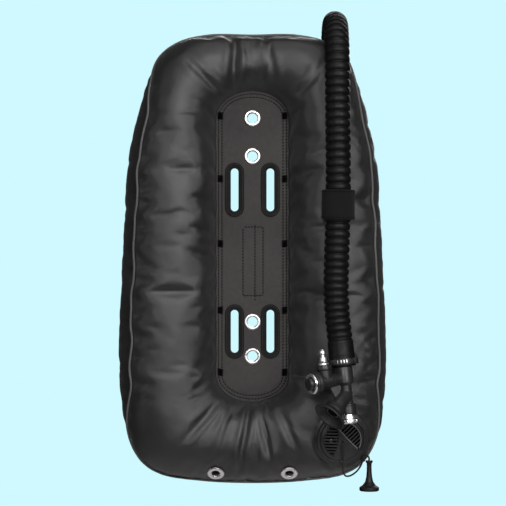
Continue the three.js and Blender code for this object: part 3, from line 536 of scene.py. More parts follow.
def metal(name, color, roughness):
    """Plated metal: faint hairlines, fingered gloss."""
    material, tree, shader = new_material(name, color, roughness, metallic=1.0)
    place = node(tree, "ShaderNodeTexCoord").outputs["Object"]
    rough = mapped(tree, noise(tree, place, 220.0, 4.0), 0.3, 0.75, roughness * 0.6, roughness * 1.9)
    tree.links.new(rough, shader.inputs["Roughness"])
    tone = mapped(tree, noise(tree, place, 60.0, 3.0), 0.3, 0.7, 0.0, 1.0)
    darker = tuple(c * 0.82 for c in color)
    tree.links.new(tinted(tree, tone, darker, color), shader.inputs["Base Color"])
    stretched = node(tree, "ShaderNodeMapping", {"Vector": place, "Scale": (900, 900, 90)}).outputs[0]
    bumped(tree, shader, noise(tree, stretched, 1.0, 2.0), 0.3, 0.00003)
    return material


def grey(level):
    return (level, level, level)


SHELL = fabric("coated_nylon", (0.0072, 0.0066, 0.0064), (0.0115, 0.0106, 0.0103), 0.38, 1500, specular=0.75)
GUSSET = fabric("gusset_nylon", grey(0.005), grey(0.008), 0.5, 1500)
PANEL = fabric("heavy_nylon", (0.033, 0.030, 0.029), (0.055, 0.051, 0.049), 0.7, 900,
               weave=0.9, crinkle=0.25, sheen=0.25, specular=0.3)
BINDING = fabric("woven_binding", (0.010, 0.0095, 0.0095), (0.018, 0.0172, 0.017), 0.8, 1100,
                 weave=0.9, sheen=0.05, specular=0.12)
# painted highlight: the piping is black cloth; its light grey colour stands in for the highlight along the
# seam
PIPING_PAINTED_HIGHLIGHT = fabric("piping_painted_highlight", (0.07, 0.068, 0.068), (0.12, 0.118, 0.118), 0.5, 1400, weave=0.5)
NEOPRENE = fabric("retainer_neoprene", grey(0.005), grey(0.008), 0.85, 1000,
                  weave=0.6, sheen=0.05, specular=0.15)
THREAD = fabric("bonded_thread", grey(0.001), grey(0.002), 0.9, 3000,
                weave=0.3, crinkle=0.1, sheen=0, specular=0.05)
WORN_THREAD = fabric("worn_thread", (0.030, 0.029, 0.028), (0.050, 0.048, 0.046), 0.8, 3000,
                     weave=0.3, crinkle=0.1, specular=0.1)
CORD = fabric("braided_cord", (0.006, 0.006, 0.007), (0.012, 0.012, 0.013), 0.7, 2200,
              weave=0.9, specular=0.3)
FILM = moulded("urethane_film", (0.52, 0.49, 0.38), (0.62, 0.59, 0.48), 0.4)
PLASTIC = moulded("black_nylon_plastic", (0.011, 0.011, 0.012), (0.017, 0.017, 0.018), 0.42, specular=0.55)
VALVE = moulded("valve_plastic", (0.014, 0.014, 0.015), (0.021, 0.021, 0.022), 0.4, specular=0.55)
KNOB = moulded("knob_plastic", (0.007, 0.0065, 0.0062), (0.013, 0.012, 0.0115), 0.5, specular=0.3)
RUBBER = moulded("black_rubber", (0.008, 0.008, 0.009), (0.013, 0.013, 0.014), 0.55, specular=0.4)
HOSE = moulded("hose_rubber", grey(0.003), grey(0.005), 0.5, specular=0.22)
# painted shade: a near-black fill put in holes and hollows where only shade is seen
SHADE_FILL = moulded("unlit_inside", grey(0.002), grey(0.003), 0.9, specular=0.1)
# painted highlight: a light grey copy of the valve plastic for the cap's edge ribs
RIB_HIGHLIGHT_PAINT = moulded("painted_highlight_edge", grey(0.10), grey(0.16), 0.2, specular=1.0)
WEB = moulded("web_face", grey(0.05), grey(0.09), 0.35, specular=0.6)
CHROME = metal("bright_plate", (0.95, 0.94, 0.93), 0.3)
STEEL = metal("spring_wire", (0.55, 0.55, 0.57), 0.28)


def finish_piece(obj, material, body, replaced=()):
    obj.data.materials.clear()
    obj.data.materials.append(material)
    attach(obj, body)
    if replaced:
        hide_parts(*replaced)
    return obj


# ---------------------------------------------------------------- camera, lights and stage
def make_camera():
    data = bpy.data.cameras.new("camera")
    camera = bpy.data.objects.new("camera", data)
    bpy.context.scene.collection.objects.link(camera)
    distance, view_width, middle_z = 2.6, 0.693, -0.0206
    data.sensor_fit = "HORIZONTAL"
    data.sensor_width = 36
    data.lens = 36 * distance / view_width
    data.clip_end = 50
    camera.location = (0.0007, -distance, middle_z)
    camera.rotation_euler = (math.radians(90), 0, 0)
    bpy.context.scene.camera = camera


def area_light(name, place, target, size, power):
    data = bpy.data.lights.new(name, "AREA")
    data.shape = "RECTANGLE"
    data.size, data.size_y = size
    data.energy = power
    light = bpy.data.objects.new(name, data)
    light.location = place
    look = Vector(target) - Vector(place)
    light.rotation_euler = look.to_track_quat("-Z", "Y").to_euler()
    bpy.context.scene.collection.objects.link(light)


def make_stage():
    world = bpy.context.scene.world or bpy.data.worlds.new("world")
    bpy.context.scene.world = world
    world.use_nodes = True
    tree = world.node_tree
    background = tree.nodes["Background"]
    background.inputs["Color"].default_value = (0.38, 0.37, 0.37, 1)
    background.inputs["Strength"].default_value = 0.06
    backdrop = tree.nodes.new("ShaderNodeBackground")
    backdrop.inputs["Color"].default_value = (0.630, 0.947, 1.0, 1)
    seen = tree.nodes.new("ShaderNodeLightPath")
    mix = tree.nodes.new("ShaderNodeMixShader")
    tree.links.new(seen.outputs["Is Camera Ray"], mix.inputs[0])
    tree.links.new(background.outputs[0], mix.inputs[1])
    tree.links.new(backdrop.outputs[0], mix.inputs[2])
    tree.links.new(mix.outputs[0], tree.nodes["World Output"].inputs["Surface"])
    bpy.context.scene.view_settings.view_transform = "Standard"
    count, radius, level = 64, 1.5, -1.5
    rim = [(*polar(radius, 2 * math.pi * k / count), level) for k in range(count)]
    floor = mesh_object("floor", rim, [tuple(range(count))], smooth=False)
    floor_material, _, _ = new_material("pale_floor", (0.66, 0.65, 0.64), 0.9)
    floor.data.materials.append(floor_material)
    floor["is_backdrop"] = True
    area_light("key", (1.4, -2.3, 0.75), (0, 0, 0), (0.8, 1.4), 46)
    area_light("top", (0.1, -1.0, 2.1), (0, 0, -0.1), (1.2, 0.6), 11)
    area_light("front", (-0.3, -2.9, 0.62), (0, 0, 0), (0.8, 0.8), 32)
    area_light("left", (-2.3, -1.4, 0.5), (0, 0, 0), (0.7, 1.5), 7)
    area_light("back", (0.6, 2.8, 1.2), (0, 0, 0), (1.8, 1.8), 55)


make_camera()
make_stage()


# ---------------------------------------------------------------- the padded air cell
FRONT_STEPS, GUSSET_STEPS, BACK_STEPS = 20, 6, 18
# direction of each pucker round the ring, in degrees from +X, and how far the seam dips there, in mm
PINCHES = [
    (-45, 5.0), (-55, 5.0), (-35, 2.2), (-24, 1.2), (14, 1.5), (33, 1.8), (152, 1.6), (168, 1.3), (197, 1.4),
    (214, 1.8), (226, 1.5),
]


def seam_angles(st):
    """Angles of the two seams round the section, wavy and puckered."""
    turn = np.degrees(np.arctan2(st.z + st.dz * 200, st.dx * 200))
    left = st.dx < 0
    side = np.where(left, math.radians(138), math.radians(148))
    share = smoothstep(np.arcsin(np.abs(st.dz)) / SEAM_TURN)
    front = side + (SEAM_END - side) * share
    run = np.arange(len(st.z)) / len(st.z) * 2 * math.pi
    wave = 0.020 * np.sin(run * 17 + 0.7) + 0.014 * np.sin(run * 31 + 2.1)
    for at, size in PINCHES:
        apart = (turn - at + 180) % 360 - 180
        wave = wave - size / 60 * np.exp(-(apart / 2.6) ** 2)
    front = front + wave * (1 - share * 0.9)
    back = SEAM_SIDE + 0.016 * np.sin(run * 19 + 1.3)
    return front, back


def cell_sections(st):
    """Rows of section points of the whole shell, from the front flange round to the back one, in mm."""
    front, back = seam_angles(st)
    columns = [st.place(-FLANGE, MID_PLANE - FACE)]
    for k in range(FRONT_STEPS + 1):
        columns.append(st.shell(-1, front * k / FRONT_STEPS))
    half = GUSSET_STEPS // 2
    for k in range(1, half):
        columns.append(st.shell(-1, front + (math.pi - front) * k / half))
    columns.append(st.place(st.width, MID_PLANE))
    for k in range(half - 1, 0, -1):
        columns.append(st.shell(1, back + (math.pi - back) * k / half))
    for k in range(BACK_STEPS, -1, -1):
        columns.append(st.shell(1, back * k / BACK_STEPS))
    columns.append(st.place(-FLANGE, MID_PLANE + FACE))
    return np.stack(columns, axis=1)


FRONT_SEAM = 1 + FRONT_STEPS
BACK_SEAM = FRONT_SEAM + GUSSET_STEPS


def blown_up(rest, count, columns):
    """Cloth simulation of the shell under air pressure, its seams held. Returns the moved points."""
    obj = mesh_object("cell_cloth", rest.reshape(-1, 3) * MM,
                      grid_faces(count, columns, wrap_rows=True, wrap_columns=True))
    outward(obj)
    held = obj.vertex_groups.new(name="held")
    index = np.arange(count * columns).reshape(count, columns)
    firm = {0: 1.0, 1: 1.0, columns - 1: 1.0, columns - 2: 1.0, FRONT_SEAM: 0.9, BACK_SEAM: 0.9}
    for column, weight in firm.items():
        held.add([int(i) for i in index[:, column]], weight, "REPLACE")
    ports = [((DUMP_X, DUMP_Z), 39, -1), ((ELBOW_X, ELBOW_Z), 31, 1), ((DRAIN_X, DRAIN_Z), 14, -1),
             ((-DRAIN_X, DRAIN_Z), 14, -1)]
    for (x, z), radius, side in ports:
        near = np.hypot(rest[..., 0] - x, rest[..., 2] - z) < radius
        near &= (rest[..., 1] - MID_PLANE) * side > 5
        held.add([int(i) for i in index[near]], 1.0, "REPLACE")
    cloth = obj.modifiers.new("air", "CLOTH").settings
    cloth.quality = 6
    cloth.mass = 0.12
    cloth.air_damping = 4.0
    cloth.tension_stiffness = 18
    cloth.compression_stiffness = 10
    cloth.shear_stiffness = 6
    cloth.bending_stiffness = 0.35
    cloth.vertex_group_mass = "held"
    cloth.pin_stiffness = 4
    cloth.use_pressure = True
    cloth.uniform_pressure_force = 2.2
    cloth.shrink_min = -0.045
    cloth.effector_weights.gravity = 0
    scene = bpy.context.scene
    scene.frame_start, scene.frame_end = 1, 22
    for frame_number in range(1, 23):
        scene.frame_set(frame_number)
    moved = obj.evaluated_get(bpy.context.evaluated_depsgraph_get()).to_mesh()
    points = np.array([v.co for v in moved.vertices], float).reshape(rest.shape) / MM
    scene.frame_set(1)
    bpy.data.objects.remove(obj)
    return points


def folds(points, outward_dirs, lines, side):
    """Presses creases into the shell along lines seen from the front: grooves with a soft ridge each side."""
    flat = points[..., [0, 2]]
    facing = (points[..., 1] - MID_PLANE) * side > 2
    for path, width, depth in lines:
        track = resample([(x, z) for x, z in path], 3)
        length = len(track)
        share = np.linspace(0, 1, length)
        away = np.linalg.norm(flat[..., None, :] - track, axis=-1)
        nearest = away.argmin(axis=-1)
        d = away.min(axis=-1)
        taper = np.sin(np.pi * np.clip(share[nearest] * 0.9 + 0.05, 0, 1)) ** 0.6
        shape = -np.exp(-(d / width) ** 2) + 0.55 * np.exp(-((d - 2.1 * width) / (1.2 * width)) ** 2)
        points = points + outward_dirs * (depth * shape * taper * facing)[..., None]
    return points


FRONT_FOLDS = [
    ([(-24, 272), (-23, 250), (-25, 228), (-27, 208)], 5.0, 5.5),
    ([(-87, 240), (-68, 220), (-46, 200)], 4.0, 2.6),
    ([(-3, -227), (-8, -255), (-14, -285), (-17, -315)], 3.4, 3.6),
    ([(-49, -224), (-68, -246), (-90, -271)], 4.2, 3.0),
    ([(37, -232), (50, -262), (66, -303)], 4.0, 3.0),
    ([(12, -230), (14, -262), (22, -300)], 3.2, 1.8),
    ([(-30, -232), (-44, -268), (-52, -296)], 3.2, 1.8),
    ([(62, 196), (84, 216), (96, 240)], 3.8, 2.2),
    ([(20, 262), (26, 240), (30, 216)], 3.6, 2.2),
    ([(136, -140), (150, -152), (166, -178)], 3.0, 5.5),
    ([(132, -160), (150, -168), (168, -194)], 2.8, 5.0),
    ([(146, -186), (160, -194), (171, -202)], 2.6, 5.0),
    ([(142, -216), (156, -218), (170, -206)], 2.6, 4.6),
    ([(150, -238), (162, -242), (172, -246)], 2.6, 4.8),
    ([(138, -130), (150, -128), (163, -120)], 2.8, 3.2),
    ([(134, -60), (148, -66), (162, -80)], 3.0, 2.6), ([(134, 20), (148, 12), (160, 0)], 3.0, 2.2),
    ([(134, 128), (146, 120), (156, 108)], 3.0, 3.0),
    ([(128, 196), (138, 186), (147, 170)], 3.0, 3.0),
    ([(52, 84), (58, 86), (66, 92)], 3.0, 1.6), ([(52, -8), (60, -10), (70, -8)], 3.0, 1.6),
    ([(52, -99), (60, -102), (70, -108)], 3.0, 1.6), ([(52, 167), (58, 170), (66, 178)], 3.0, 1.6),
    ([(-52, 81), (-60, 84), (-70, 90)], 3.0, 1.6), ([(-52, -8), (-62, -9), (-72, -6)], 3.0, 1.6),
    ([(-52, -99), (-60, -104), (-71, -112)], 3.0, 1.6), ([(-52, 167), (-60, 172), (-68, 182)], 3.0, 1.6),
    ([(-52, -184), (-62, -192), (-76, -206)], 3.2, 2.0), ([(52, -184), (62, -190), (76, -200)], 3.2, 2.0),
    ([(-158, -60), (-150, -64), (-140, -62)], 2.6, 1.2),
    ([(-160, -128), (-150, -132), (-139, -130)], 2.6, 1.2),
    ([(-150, 100), (-142, 96), (-132, 98)], 2.6, 1.2), ([(-157, 14), (-149, 12), (-140, 16)], 2.6, 1.2),
    ([(-163, -210), (-150, -214), (-136, -222)], 2.8, 1.6),
]
BACK_FOLDS = [
    ([(-20, 268), (-16, 240), (-20, 212)], 5.0, 4.0), ([(40, 262), (36, 240), (28, 214)], 4.4, 3.0),
    ([(52, 120), (66, 126), (84, 128)], 4.0, 2.2), ([(52, -60), (68, -64), (86, -60)], 4.0, 2.2),
    ([(-52, 60), (-68, 66), (-88, 64)], 4.0, 2.2), ([(-52, -120), (-68, -126), (-90, -122)], 4.0, 2.2),
    ([(-30, -232), (-42, -262), (-50, -300)], 4.0, 3.0), ([(18, -230), (16, -262), (24, -304)], 4.0, 3.0),
    ([(60, -220), (80, -240), (104, -262)], 4.0, 2.6), ([(-60, -216), (-84, -238), (-108, -258)], 4.0, 2.4),
    ([(-70, 196), (-90, 214), (-112, 226)], 4.0, 2.2),
]


def smooth_noise(points, scale, seed):
    """Slow bumps from a few crossed waves."""
    rng = np.random.default_rng(seed)
    total = np.zeros(points.shape[:-1])
    for _ in range(14):
        way = rng.normal(size=3)
        way *= rng.uniform(0.6, 1.7) / np.linalg.norm(way) * 2 * math.pi / scale
        total += np.sin(points @ way + rng.uniform(0, 2 * math.pi))
    return total / 14 ** 0.5


def cell_points():
    """The shell's points after air pressure, ripples and folds, with their outward directions."""
    st = ring_stations(5.2)
    rest = cell_sections(st)
    count, columns = rest.shape[:2]
    along = np.roll(rest, -1, axis=0) - np.roll(rest, 1, axis=0)
    across = np.roll(rest, -1, axis=1) - np.roll(rest, 1, axis=1)
    out = np.cross(across, along)
    out /= np.maximum(np.linalg.norm(out, axis=-1), 1e-9)[..., None]
    centre = np.stack([st.dx * (st.inner + st.width / 2), 0 * st.z + MID_PLANE,
                       st.z + st.dz * (st.inner + st.width / 2)], axis=-1)
    if ((rest - centre[:, None]) * out).sum() < 0:
        out = -out
    points = rest.copy()
    moved = blown_up(rest, count, columns) - rest
    size = np.linalg.norm(moved, axis=-1)
    limit = 4.5
    moved *= (np.tanh(size / limit) * limit / np.maximum(size, 1e-6))[..., None]
    points = rest + moved
    column = np.arange(columns)
    from_seam = np.minimum(np.abs(column - FRONT_SEAM), np.abs(column - BACK_SEAM))
    from_edge = np.minimum(column, columns - 1 - column)
    free = smoothstep(np.minimum(from_seam, from_edge - 1), 0, 4)[None, :]
    for (x, z), radius, side in (((DUMP_X, DUMP_Z), 38, -1), ((ELBOW_X, ELBOW_Z), 30, 1)):
        away = np.hypot(rest[..., 0] - x, rest[..., 2] - z)
        same = (rest[..., 1] - MID_PLANE) * side > 0
        free = free * np.where(same, smoothstep(away, radius, radius + 22), 1)
    ripple = 0.7 * smooth_noise(rest, 120, 3) + 0.3 * smooth_noise(rest, 44, 8)
    near_seam = np.exp(-(from_seam / 2.6) ** 2)[None, :] * (from_edge > 1)[None, :]
    run = np.arange(count)[:, None] / count * 2 * math.pi
    pucker = 0.55 * np.sin(run * 83 + 2 * np.sin(run * 9)) * (0.5 + 0.5 * np.sin(run * 13 + 1))
    points = points + out * ((ripple * free) + pucker * near_seam * (from_seam > 0)[None, :])[..., None]
    points = folds(points, out * free[..., None], FRONT_FOLDS, -1)
    points = folds(points, out * free[..., None], BACK_FOLDS, 1)
    return points, out


def ring_strip(name, points, first, last, thickness, out):
    """Columns first to last of the shell as a sheet with thickness."""
    part = points[:, first:last + 1]
    inner = part - out[:, first:last + 1] * thickness
    count, columns = part.shape[:2]
    loop = np.concatenate([part, inner[:, ::-1]], axis=1)
    obj = mesh_object(name, loop.reshape(-1, 3) * MM,
                      grid_faces(count, 2 * columns, wrap_rows=True, wrap_columns=True))
    return outward(obj)


def bored(obj, point, axis, radius, depth):
    """Cuts a round hole through a piece."""
    profile = [(0, -depth), (radius, -depth), (radius, depth), (0, depth)]
    tool = lathe(obj.name + "_tool", profile, Place(point, axis), 48, 0)
    cut = obj.modifiers.new("bore", "BOOLEAN")
    cut.operation, cut.object, cut.solver = "DIFFERENCE", tool, "EXACT"
    apply_modifier(obj, cut)
    bpy.data.objects.remove(tool)


def make_cell():
    points, out = cell_points()
    columns = points.shape[1]
    front = ring_strip("shell_front", points, 0, FRONT_SEAM, WALL, out)
    gusset = ring_strip("gusset", points, FRONT_SEAM, BACK_SEAM, WALL, out)
    back = ring_strip("shell_back", points, BACK_SEAM, columns - 1, WALL, out)
    for obj in (front, gusset, back):
        fine = obj.modifiers.new("fine", "SUBSURF")
        fine.levels = fine.render_levels = 1
        apply_modifier(obj, fine)
    dump_point, dump_normal = shell_face(DUMP_X, DUMP_Z, -1)
    bored(front, dump_point, dump_normal, DUMP_HOLE, 40)
    for x in (-DRAIN_X, DRAIN_X):
        point, normal = shell_face(x, DRAIN_Z, -1)
        bored(front, point, normal, DRAIN_HOLE, 9)
    elbow_point, elbow_normal = shell_face(ELBOW_X, ELBOW_Z, 1)
    bored(back, elbow_point, elbow_normal, ELBOW_HOLE, 40)
    for obj in (front, gusset, back):
        obj.data.shade_smooth()
    finish_piece(front, SHELL, "wing", ["shell_front_panel"])
    finish_piece(gusset, GUSSET, "wing", ["side_gusset"])
    finish_piece(back, SHELL, "wing", ["shell_back_panel"])
    for side, column, name in ((-1, FRONT_SEAM, "front_piping"), (1, BACK_SEAM, "back_piping")):
        line = points[:, column] + out[:, column] * 1.3
        line = np.concatenate([line, line[:1]])
        # the piping cord is real; its light grey colour is a painted highlight
        cord_piece = tube(name + "_cord", line, 1.5, 10, closed=True)
        finish_piece(cord_piece, PIPING_PAINTED_HIGHLIGHT, "wing", [name])


# ---------------------------------------------------------------- centre panel
def slot_loop(grow):
    """A band slot's outline about its centre, widened by grow."""
    radius, straight, count = SLOT_WIDTH / 2 + grow, (SLOT_LENGTH - SLOT_WIDTH) / 2, 14
    points = []
    for start, shift in ((0, straight), (math.pi, -straight)):
        for k in range(count + 1):
            a = start + math.pi * k / count
            x, z = polar(radius, a)
            points.append((x, shift + z))
    return points


def panel_edge(inset):
    """The panel's outline, drawn in by inset."""
    count, points = 40, []
    for start, z in ((0, SPINE_TOP), (math.pi, SPINE_BOTTOM)):
        for k in range(count + 1):
            a = start + math.pi * k / count
            r = 1 / math.hypot(math.cos(a) / PANEL_HALF, math.sin(a) / PANEL_RISE) - inset
            points.append((r * math.cos(a), z + r * math.sin(a)))
    return points


def edge_distance(x, z):
    """How far inside the panel's edge a place is, in mm."""
    origin = np.clip(z, SPINE_BOTTOM, SPINE_TOP)
    dz = z - origin
    r = np.maximum(np.hypot(x, dz), 1e-6)
    return 1 / np.hypot(x / r / PANEL_HALF, dz / r / PANEL_RISE) - r


def loop_distance(x, z, loop):
    """Distance to a closed loop of points."""
    p = np.array(loop)
    q = np.roll(p, -1, axis=0)
    best = np.full(np.shape(x), 1e9)
    for a, b in zip(p, q):
        d = b - a
        t = np.clip(((x - a[0]) * d[0] + (z - a[1]) * d[1]) / max(d @ d, 1e-9), 0, 1)
        best = np.minimum(best, np.hypot(x - a[0] - t * d[0], z - a[1] - t * d[1]))
    return best


PATCH = [(-13, 15), (14.5, 15), (14.5, -79), (-13, -79)]
TACKS = [167, 81, -8, -99, -184]
# soft creases of the panel: centre x, z, half length along x, z, width and depth
PANEL_CREASES = [
    (24, 132, 4, 26, 4.0, 1.0), (-20, 140, 3, 22, 3.4, 0.7), (24, -10, 2, 40, 4.0, 0.9),
    (-24, -14, 3, 36, 4.0, 0.8), (8, 24, 1, 14, 3.0, 0.6), (-36, 150, 8, 14, 3.0, 0.6),
    (30, -190, 8, 16, 3.6, 0.8), (-28, -196, 6, 14, 3.6, 0.7), (0, -210, 12, 3, 3.0, 0.5),
]


def panel_height(x, z):
    """How far the front sheet stands from its flat face, in mm: stitches pull it in, the rest puffs up."""
    edge = edge_distance(x, z)
    seam = 0.9 * (np.exp(-((edge - 3.6) / 1.3) ** 2) + np.exp(-((edge - 8.2) / 1.3) ** 2))
    seam += 0.7 * np.exp(-(loop_distance(x, z, PATCH) / 1.6) ** 2)
    seam += 0.6 * np.exp(-((x - 3.5) / 1.4) ** 2) * ((z < 19) & (z > -87))
    for tack in TACKS:
        seam += 0.8 * np.exp(-(((np.abs(x) - 45) / 6) ** 2 + ((z - tack) / 3.2) ** 2))
    points = np.stack([x, 0 * x, z], axis=-1)
    draw = 0
    for cx, cz, dx, dz, wide, deep in PANEL_CREASES:
        along = ((x - cx) * dx + (z - cz) * dz) / math.hypot(dx, dz)
        apart = ((x - cx) * dz - (z - cz) * dx) / math.hypot(dx, dz)
        draw = draw + deep * np.exp(-(apart / wide) ** 2 - (along / math.hypot(dx, dz)) ** 2)
    return -seam - draw + 0.34 * smooth_noise(points, 46, 21) + 0.14 * smooth_noise(points, 17, 22)


def closed_line(points):
    return resample(list(points) + [points[0]], 1.2)


STITCH_INSETS = (3.6, 8.2)
PANEL_GRID = 1.7


def panel_sheet(name, face, way):
    """A sheet of the centre panel with its slots and holes. way is -1 where its face looks at the diver."""
    loops = [panel_edge(0.4)]
    loops += [[(x + px, z + pz) for px, pz in slot_loop(1.5)] for x, z in SLOTS.values()]
    loops += [[(8.2 * math.cos(a), z + 8.2 * math.sin(a)) for a in np.arange(24) * math.pi / 12]
              for z in BOLT_ROWS]
    verts, edges = [], []
    for loop in loops:
        first = len(verts)
        verts += loop
        edges += [(first + i, first + (i + 1) % len(loop)) for i in range(len(loop))]
    grid_x, grid_z = np.meshgrid(np.arange(-48, 49, PANEL_GRID), np.arange(-222, 200, PANEL_GRID))
    gx, gz = grid_x.ravel(), grid_z.ravel()
    for inset in STITCH_INSETS:
        row = np.array(closed_line(panel_edge(inset)))
        gx, gz = np.concatenate([gx, row[:, 0]]), np.concatenate([gz, row[:, 1]])
    keep = edge_distance(gx, gz) > 1.8
    for x, z in SLOTS.values():
        inside = (np.abs(gx - x) < SLOT_WIDTH / 2 + 3) & (np.abs(gz - z) < SLOT_LENGTH / 2 + 3)
        keep &= ~inside
    for z in BOLT_ROWS:
        keep &= np.hypot(gx, gz - z) > 9.4
    verts += list(zip(gx[keep], gz[keep]))
    flat = [Vector((float(a), float(b))) for a, b in verts]
    out_verts, _, out_faces, *_ = delaunay_2d_cdt(flat, edges, [], 0, 1e-5)
    p = np.array([tuple(v) for v in out_verts])
    faces = []
    for face_ in out_faces:
        cx, cz = p[list(face_)].mean(axis=0)
        if edge_distance(cx, cz) < 0.35:
            continue
        straight = (SLOT_LENGTH - SLOT_WIDTH) / 2
        if any(math.hypot(cx - x, max(abs(cz - z) - straight, 0)) < SLOT_WIDTH / 2 + 1.5
               for x, z in SLOTS.values()):
            continue
        if any(math.hypot(cx, cz - z) < 8.1 for z in BOLT_ROWS):
            continue
        faces.append(list(face_))
    height = panel_height(p[:, 0], p[:, 1])
    rim = smoothstep(edge_distance(p[:, 0], p[:, 1]), 0.2, 2.0)
    y = face + way * (height * rim - 0.5 * (1 - rim))
    sheet = mesh_object(name, np.stack([p[:, 0], y, p[:, 1]], axis=-1) * MM, faces)
    return thickened(sheet, 1.5, (0, way, 0), 50)


def face_row(points, lift, way):
    """A stitch row on a panel face: its points and outward directions."""
    p = np.array(points, float)
    y = (0 if way < 0 else STACK) + way * (panel_height(p[:, 0], p[:, 1]) + lift)
    return np.stack([p[:, 0], y, p[:, 1]], axis=-1), np.tile((0, way, 0), (len(p), 1))


def make_panel():
    front = panel_sheet("panel_front", 0, -1)
    finish_piece(front, PANEL, "wing", ["centre_panel_front"])
    back = panel_sheet("panel_back", STACK, 1)
    finish_piece(back, PANEL, "wing", ["centre_panel_back"])
    rows = []
    for way in (-1, 1):
        for inset in STITCH_INSETS:
            rows.append(face_row(closed_line(panel_edge(inset)), 0.8, way))
        rows.append(face_row(closed_line(PATCH), 0.6, way))
        rows.append(face_row(resample([(3.5, 19), (3.5, -87)], 1.2), 0.6, way))
    thread = stitches("panel_stitching", rows, length=2.8, pitch=4.2, radius=0.75)
    finish_piece(thread, THREAD, "wing")
    bars = []
    for way in (-1, 1):
        for tack in TACKS:
            for x in (-1, 1):
                for k in range(6):
                    z = tack - 4.0 + 1.6 * k
                    bars.append(face_row([(x * 39.5, z), (x * 48.5, z + 0.5)], 0.9, way))
    tacks = stitches("bar_tacks", bars, length=8.4, pitch=9, radius=0.8)
    finish_piece(tacks, THREAD, "wing")
    profile = filleted([
        (0.0, -1.5), (7.6, -1.5), (8.0, -0.1), (1.2, -0.1), (1.2, STACK + 0.1), (8.0, STACK + 0.1),
        (7.6, STACK + 1.5), (0.0, STACK + 1.5),
    ], 0.7)
    for name, (x, z) in SLOTS.items():
        loops = []
        for grow, y in profile:
            loop = np.array(slot_loop(grow))
            pts = np.stack([loop[:, 0] + x, 0 * loop[:, 0] + y, loop[:, 1] + z], axis=-1)
            bulge = 0.22 * smooth_noise(pts * [1, 0, 1], 16, 5) * (1 if y < 0 or y > STACK else 0)
            pts[:, 1] += bulge
            loops.append(pts)
        grid = np.stack(loops, axis=1)
        trim = mesh_object("slot_binding_" + name, grid.reshape(-1, 3) * MM,
                           grid_faces(grid.shape[0], grid.shape[1], wrap_rows=True, wrap_columns=True))
        outward(trim)
        lines = []
        for way, y in ((-1, -1.5), (1, STACK + 1.5)):
            ring = closed_line([(a + x, b + z) for a, b in slot_loop(5.6)])
            pts = np.stack([ring[:, 0], 0 * ring[:, 0] + y + way * 0.3, ring[:, 1]], axis=-1)
            lines.append((pts, np.tile((0, way, 0), (len(pts), 1))))
        finish_piece(trim, BINDING, "wing", ["band_slot_trim_" + name])
        sewn = stitches("slot_stitching_" + name, lines, length=1.9, pitch=3.2, radius=0.55)
        finish_piece(sewn, WORN_THREAD, "wing")


# ---------------------------------------------------------------- grommets
def make_grommets():
    for i, z in enumerate(BOLT_ROWS, 1):
        place = Place((0, 0, z), (0, -1, 0))
        tip = -STACK - 1.9
        front = lathe("bolt_eyelet_%d" % i, [
            (7.0, tip), (7.9, tip), (7.9, 0.3), (11.2, 0.3), (11.4, 0.7), (10.2, 1.9), (8.2, 1.95),
            (7.0, 0.9),
        ], place, 64, 0.55)
        finish_piece(front, CHROME, "wing", ["bolt_grommet_%d" % i])
        rear = lathe("bolt_eyelet_washer_%d" % i, [
            (8.2, tip), (11.0, tip + 0.3), (11.4, tip + 0.9), (11.4, tip + 1.6), (8.2, tip + 1.6),
        ], place, 64, 0.3)
        finish_piece(rear, CHROME, "wing", ["bolt_grommet_washer_%d" % i])
    for name, x in (("left", -DRAIN_X), ("right", DRAIN_X)):
        place = Place(*shell_face(x, DRAIN_Z, -1))
        eyelet = lathe("drain_eyelet_" + name, [
            (5.6, -5.4), (6.5, -5.4), (6.5, 0.3), (11.5, 0.3), (11.75, 0.7), (10.4, 1.75), (7.2, 1.8),
            (5.6, 0.7),
        ], place, 56, 0.5)
        # painted shade: a dark disc down the drain hole
        dark = lathe("drain_inside_shade_" + name, [(0, -5.2), (5.5, -5.2), (5.5, -4.6), (0, -4.6)], place, 40, 0.1)
        finish_piece(dark, SHADE_FILL, "wing")
        finish_piece(eyelet, CHROME, "wing", ["drain_grommet_" + name])


# ---------------------------------------------------------------- hose and what rides on it
HOSE_LINE = resample(spline(HOSE_ROUTE, per=24), 0.65)
HOSE_RUN = run_along(HOSE_LINE)
HOSE_LENGTH = float(HOSE_RUN[-1])
INFLATOR_UP = Vector(HOSE_ROUTE[-2]) - Vector(HOSE_ROUTE[-1])
INFLATOR = Place(HOSE_ROUTE[-1], INFLATOR_UP)


def hose_radius():
    """Radius of the hose along its line: a smooth cuff at the elbow, then rings, closer lower down."""
    run = HOSE_RUN
    pitch = np.interp(run, [0, 250, 420, HOSE_LENGTH], [9.8, 10.8, 10.6, 9.0])
    phase = np.concatenate([[0], np.cumsum(np.diff(run) / ((pitch[1:] + pitch[:-1]) / 2))])
    beside = 2 * np.abs(phase - np.round(phase))
    ring = np.sqrt(np.clip(1 - (0.985 * beside) ** 2.4, 0, 1))
    valley, crest = 13.0, 17.0
    radius = valley + (crest - valley) * ring
    cuff = 1 - smoothstep(run, 22, 27)
    end = smoothstep(run, HOSE_LENGTH - 3.5, HOSE_LENGTH - 1)
    radius = radius * (1 - cuff) + 16.6 * cuff
    return radius * (1 - end) + 16.2 * end


def place_on_hose(height):
    front = HOSE_LINE[len(HOSE_LINE) // 2:]
    i = int(np.argmin(np.abs(front[:, 2] - height)))
    return front[i], front[i - 4] - front[i + 4]


def on_front(radius, angle, height=0):
    """A spot round a place's axis, its angle from the diver's side."""
    return radius * math.sin(angle), -radius * math.cos(angle), height


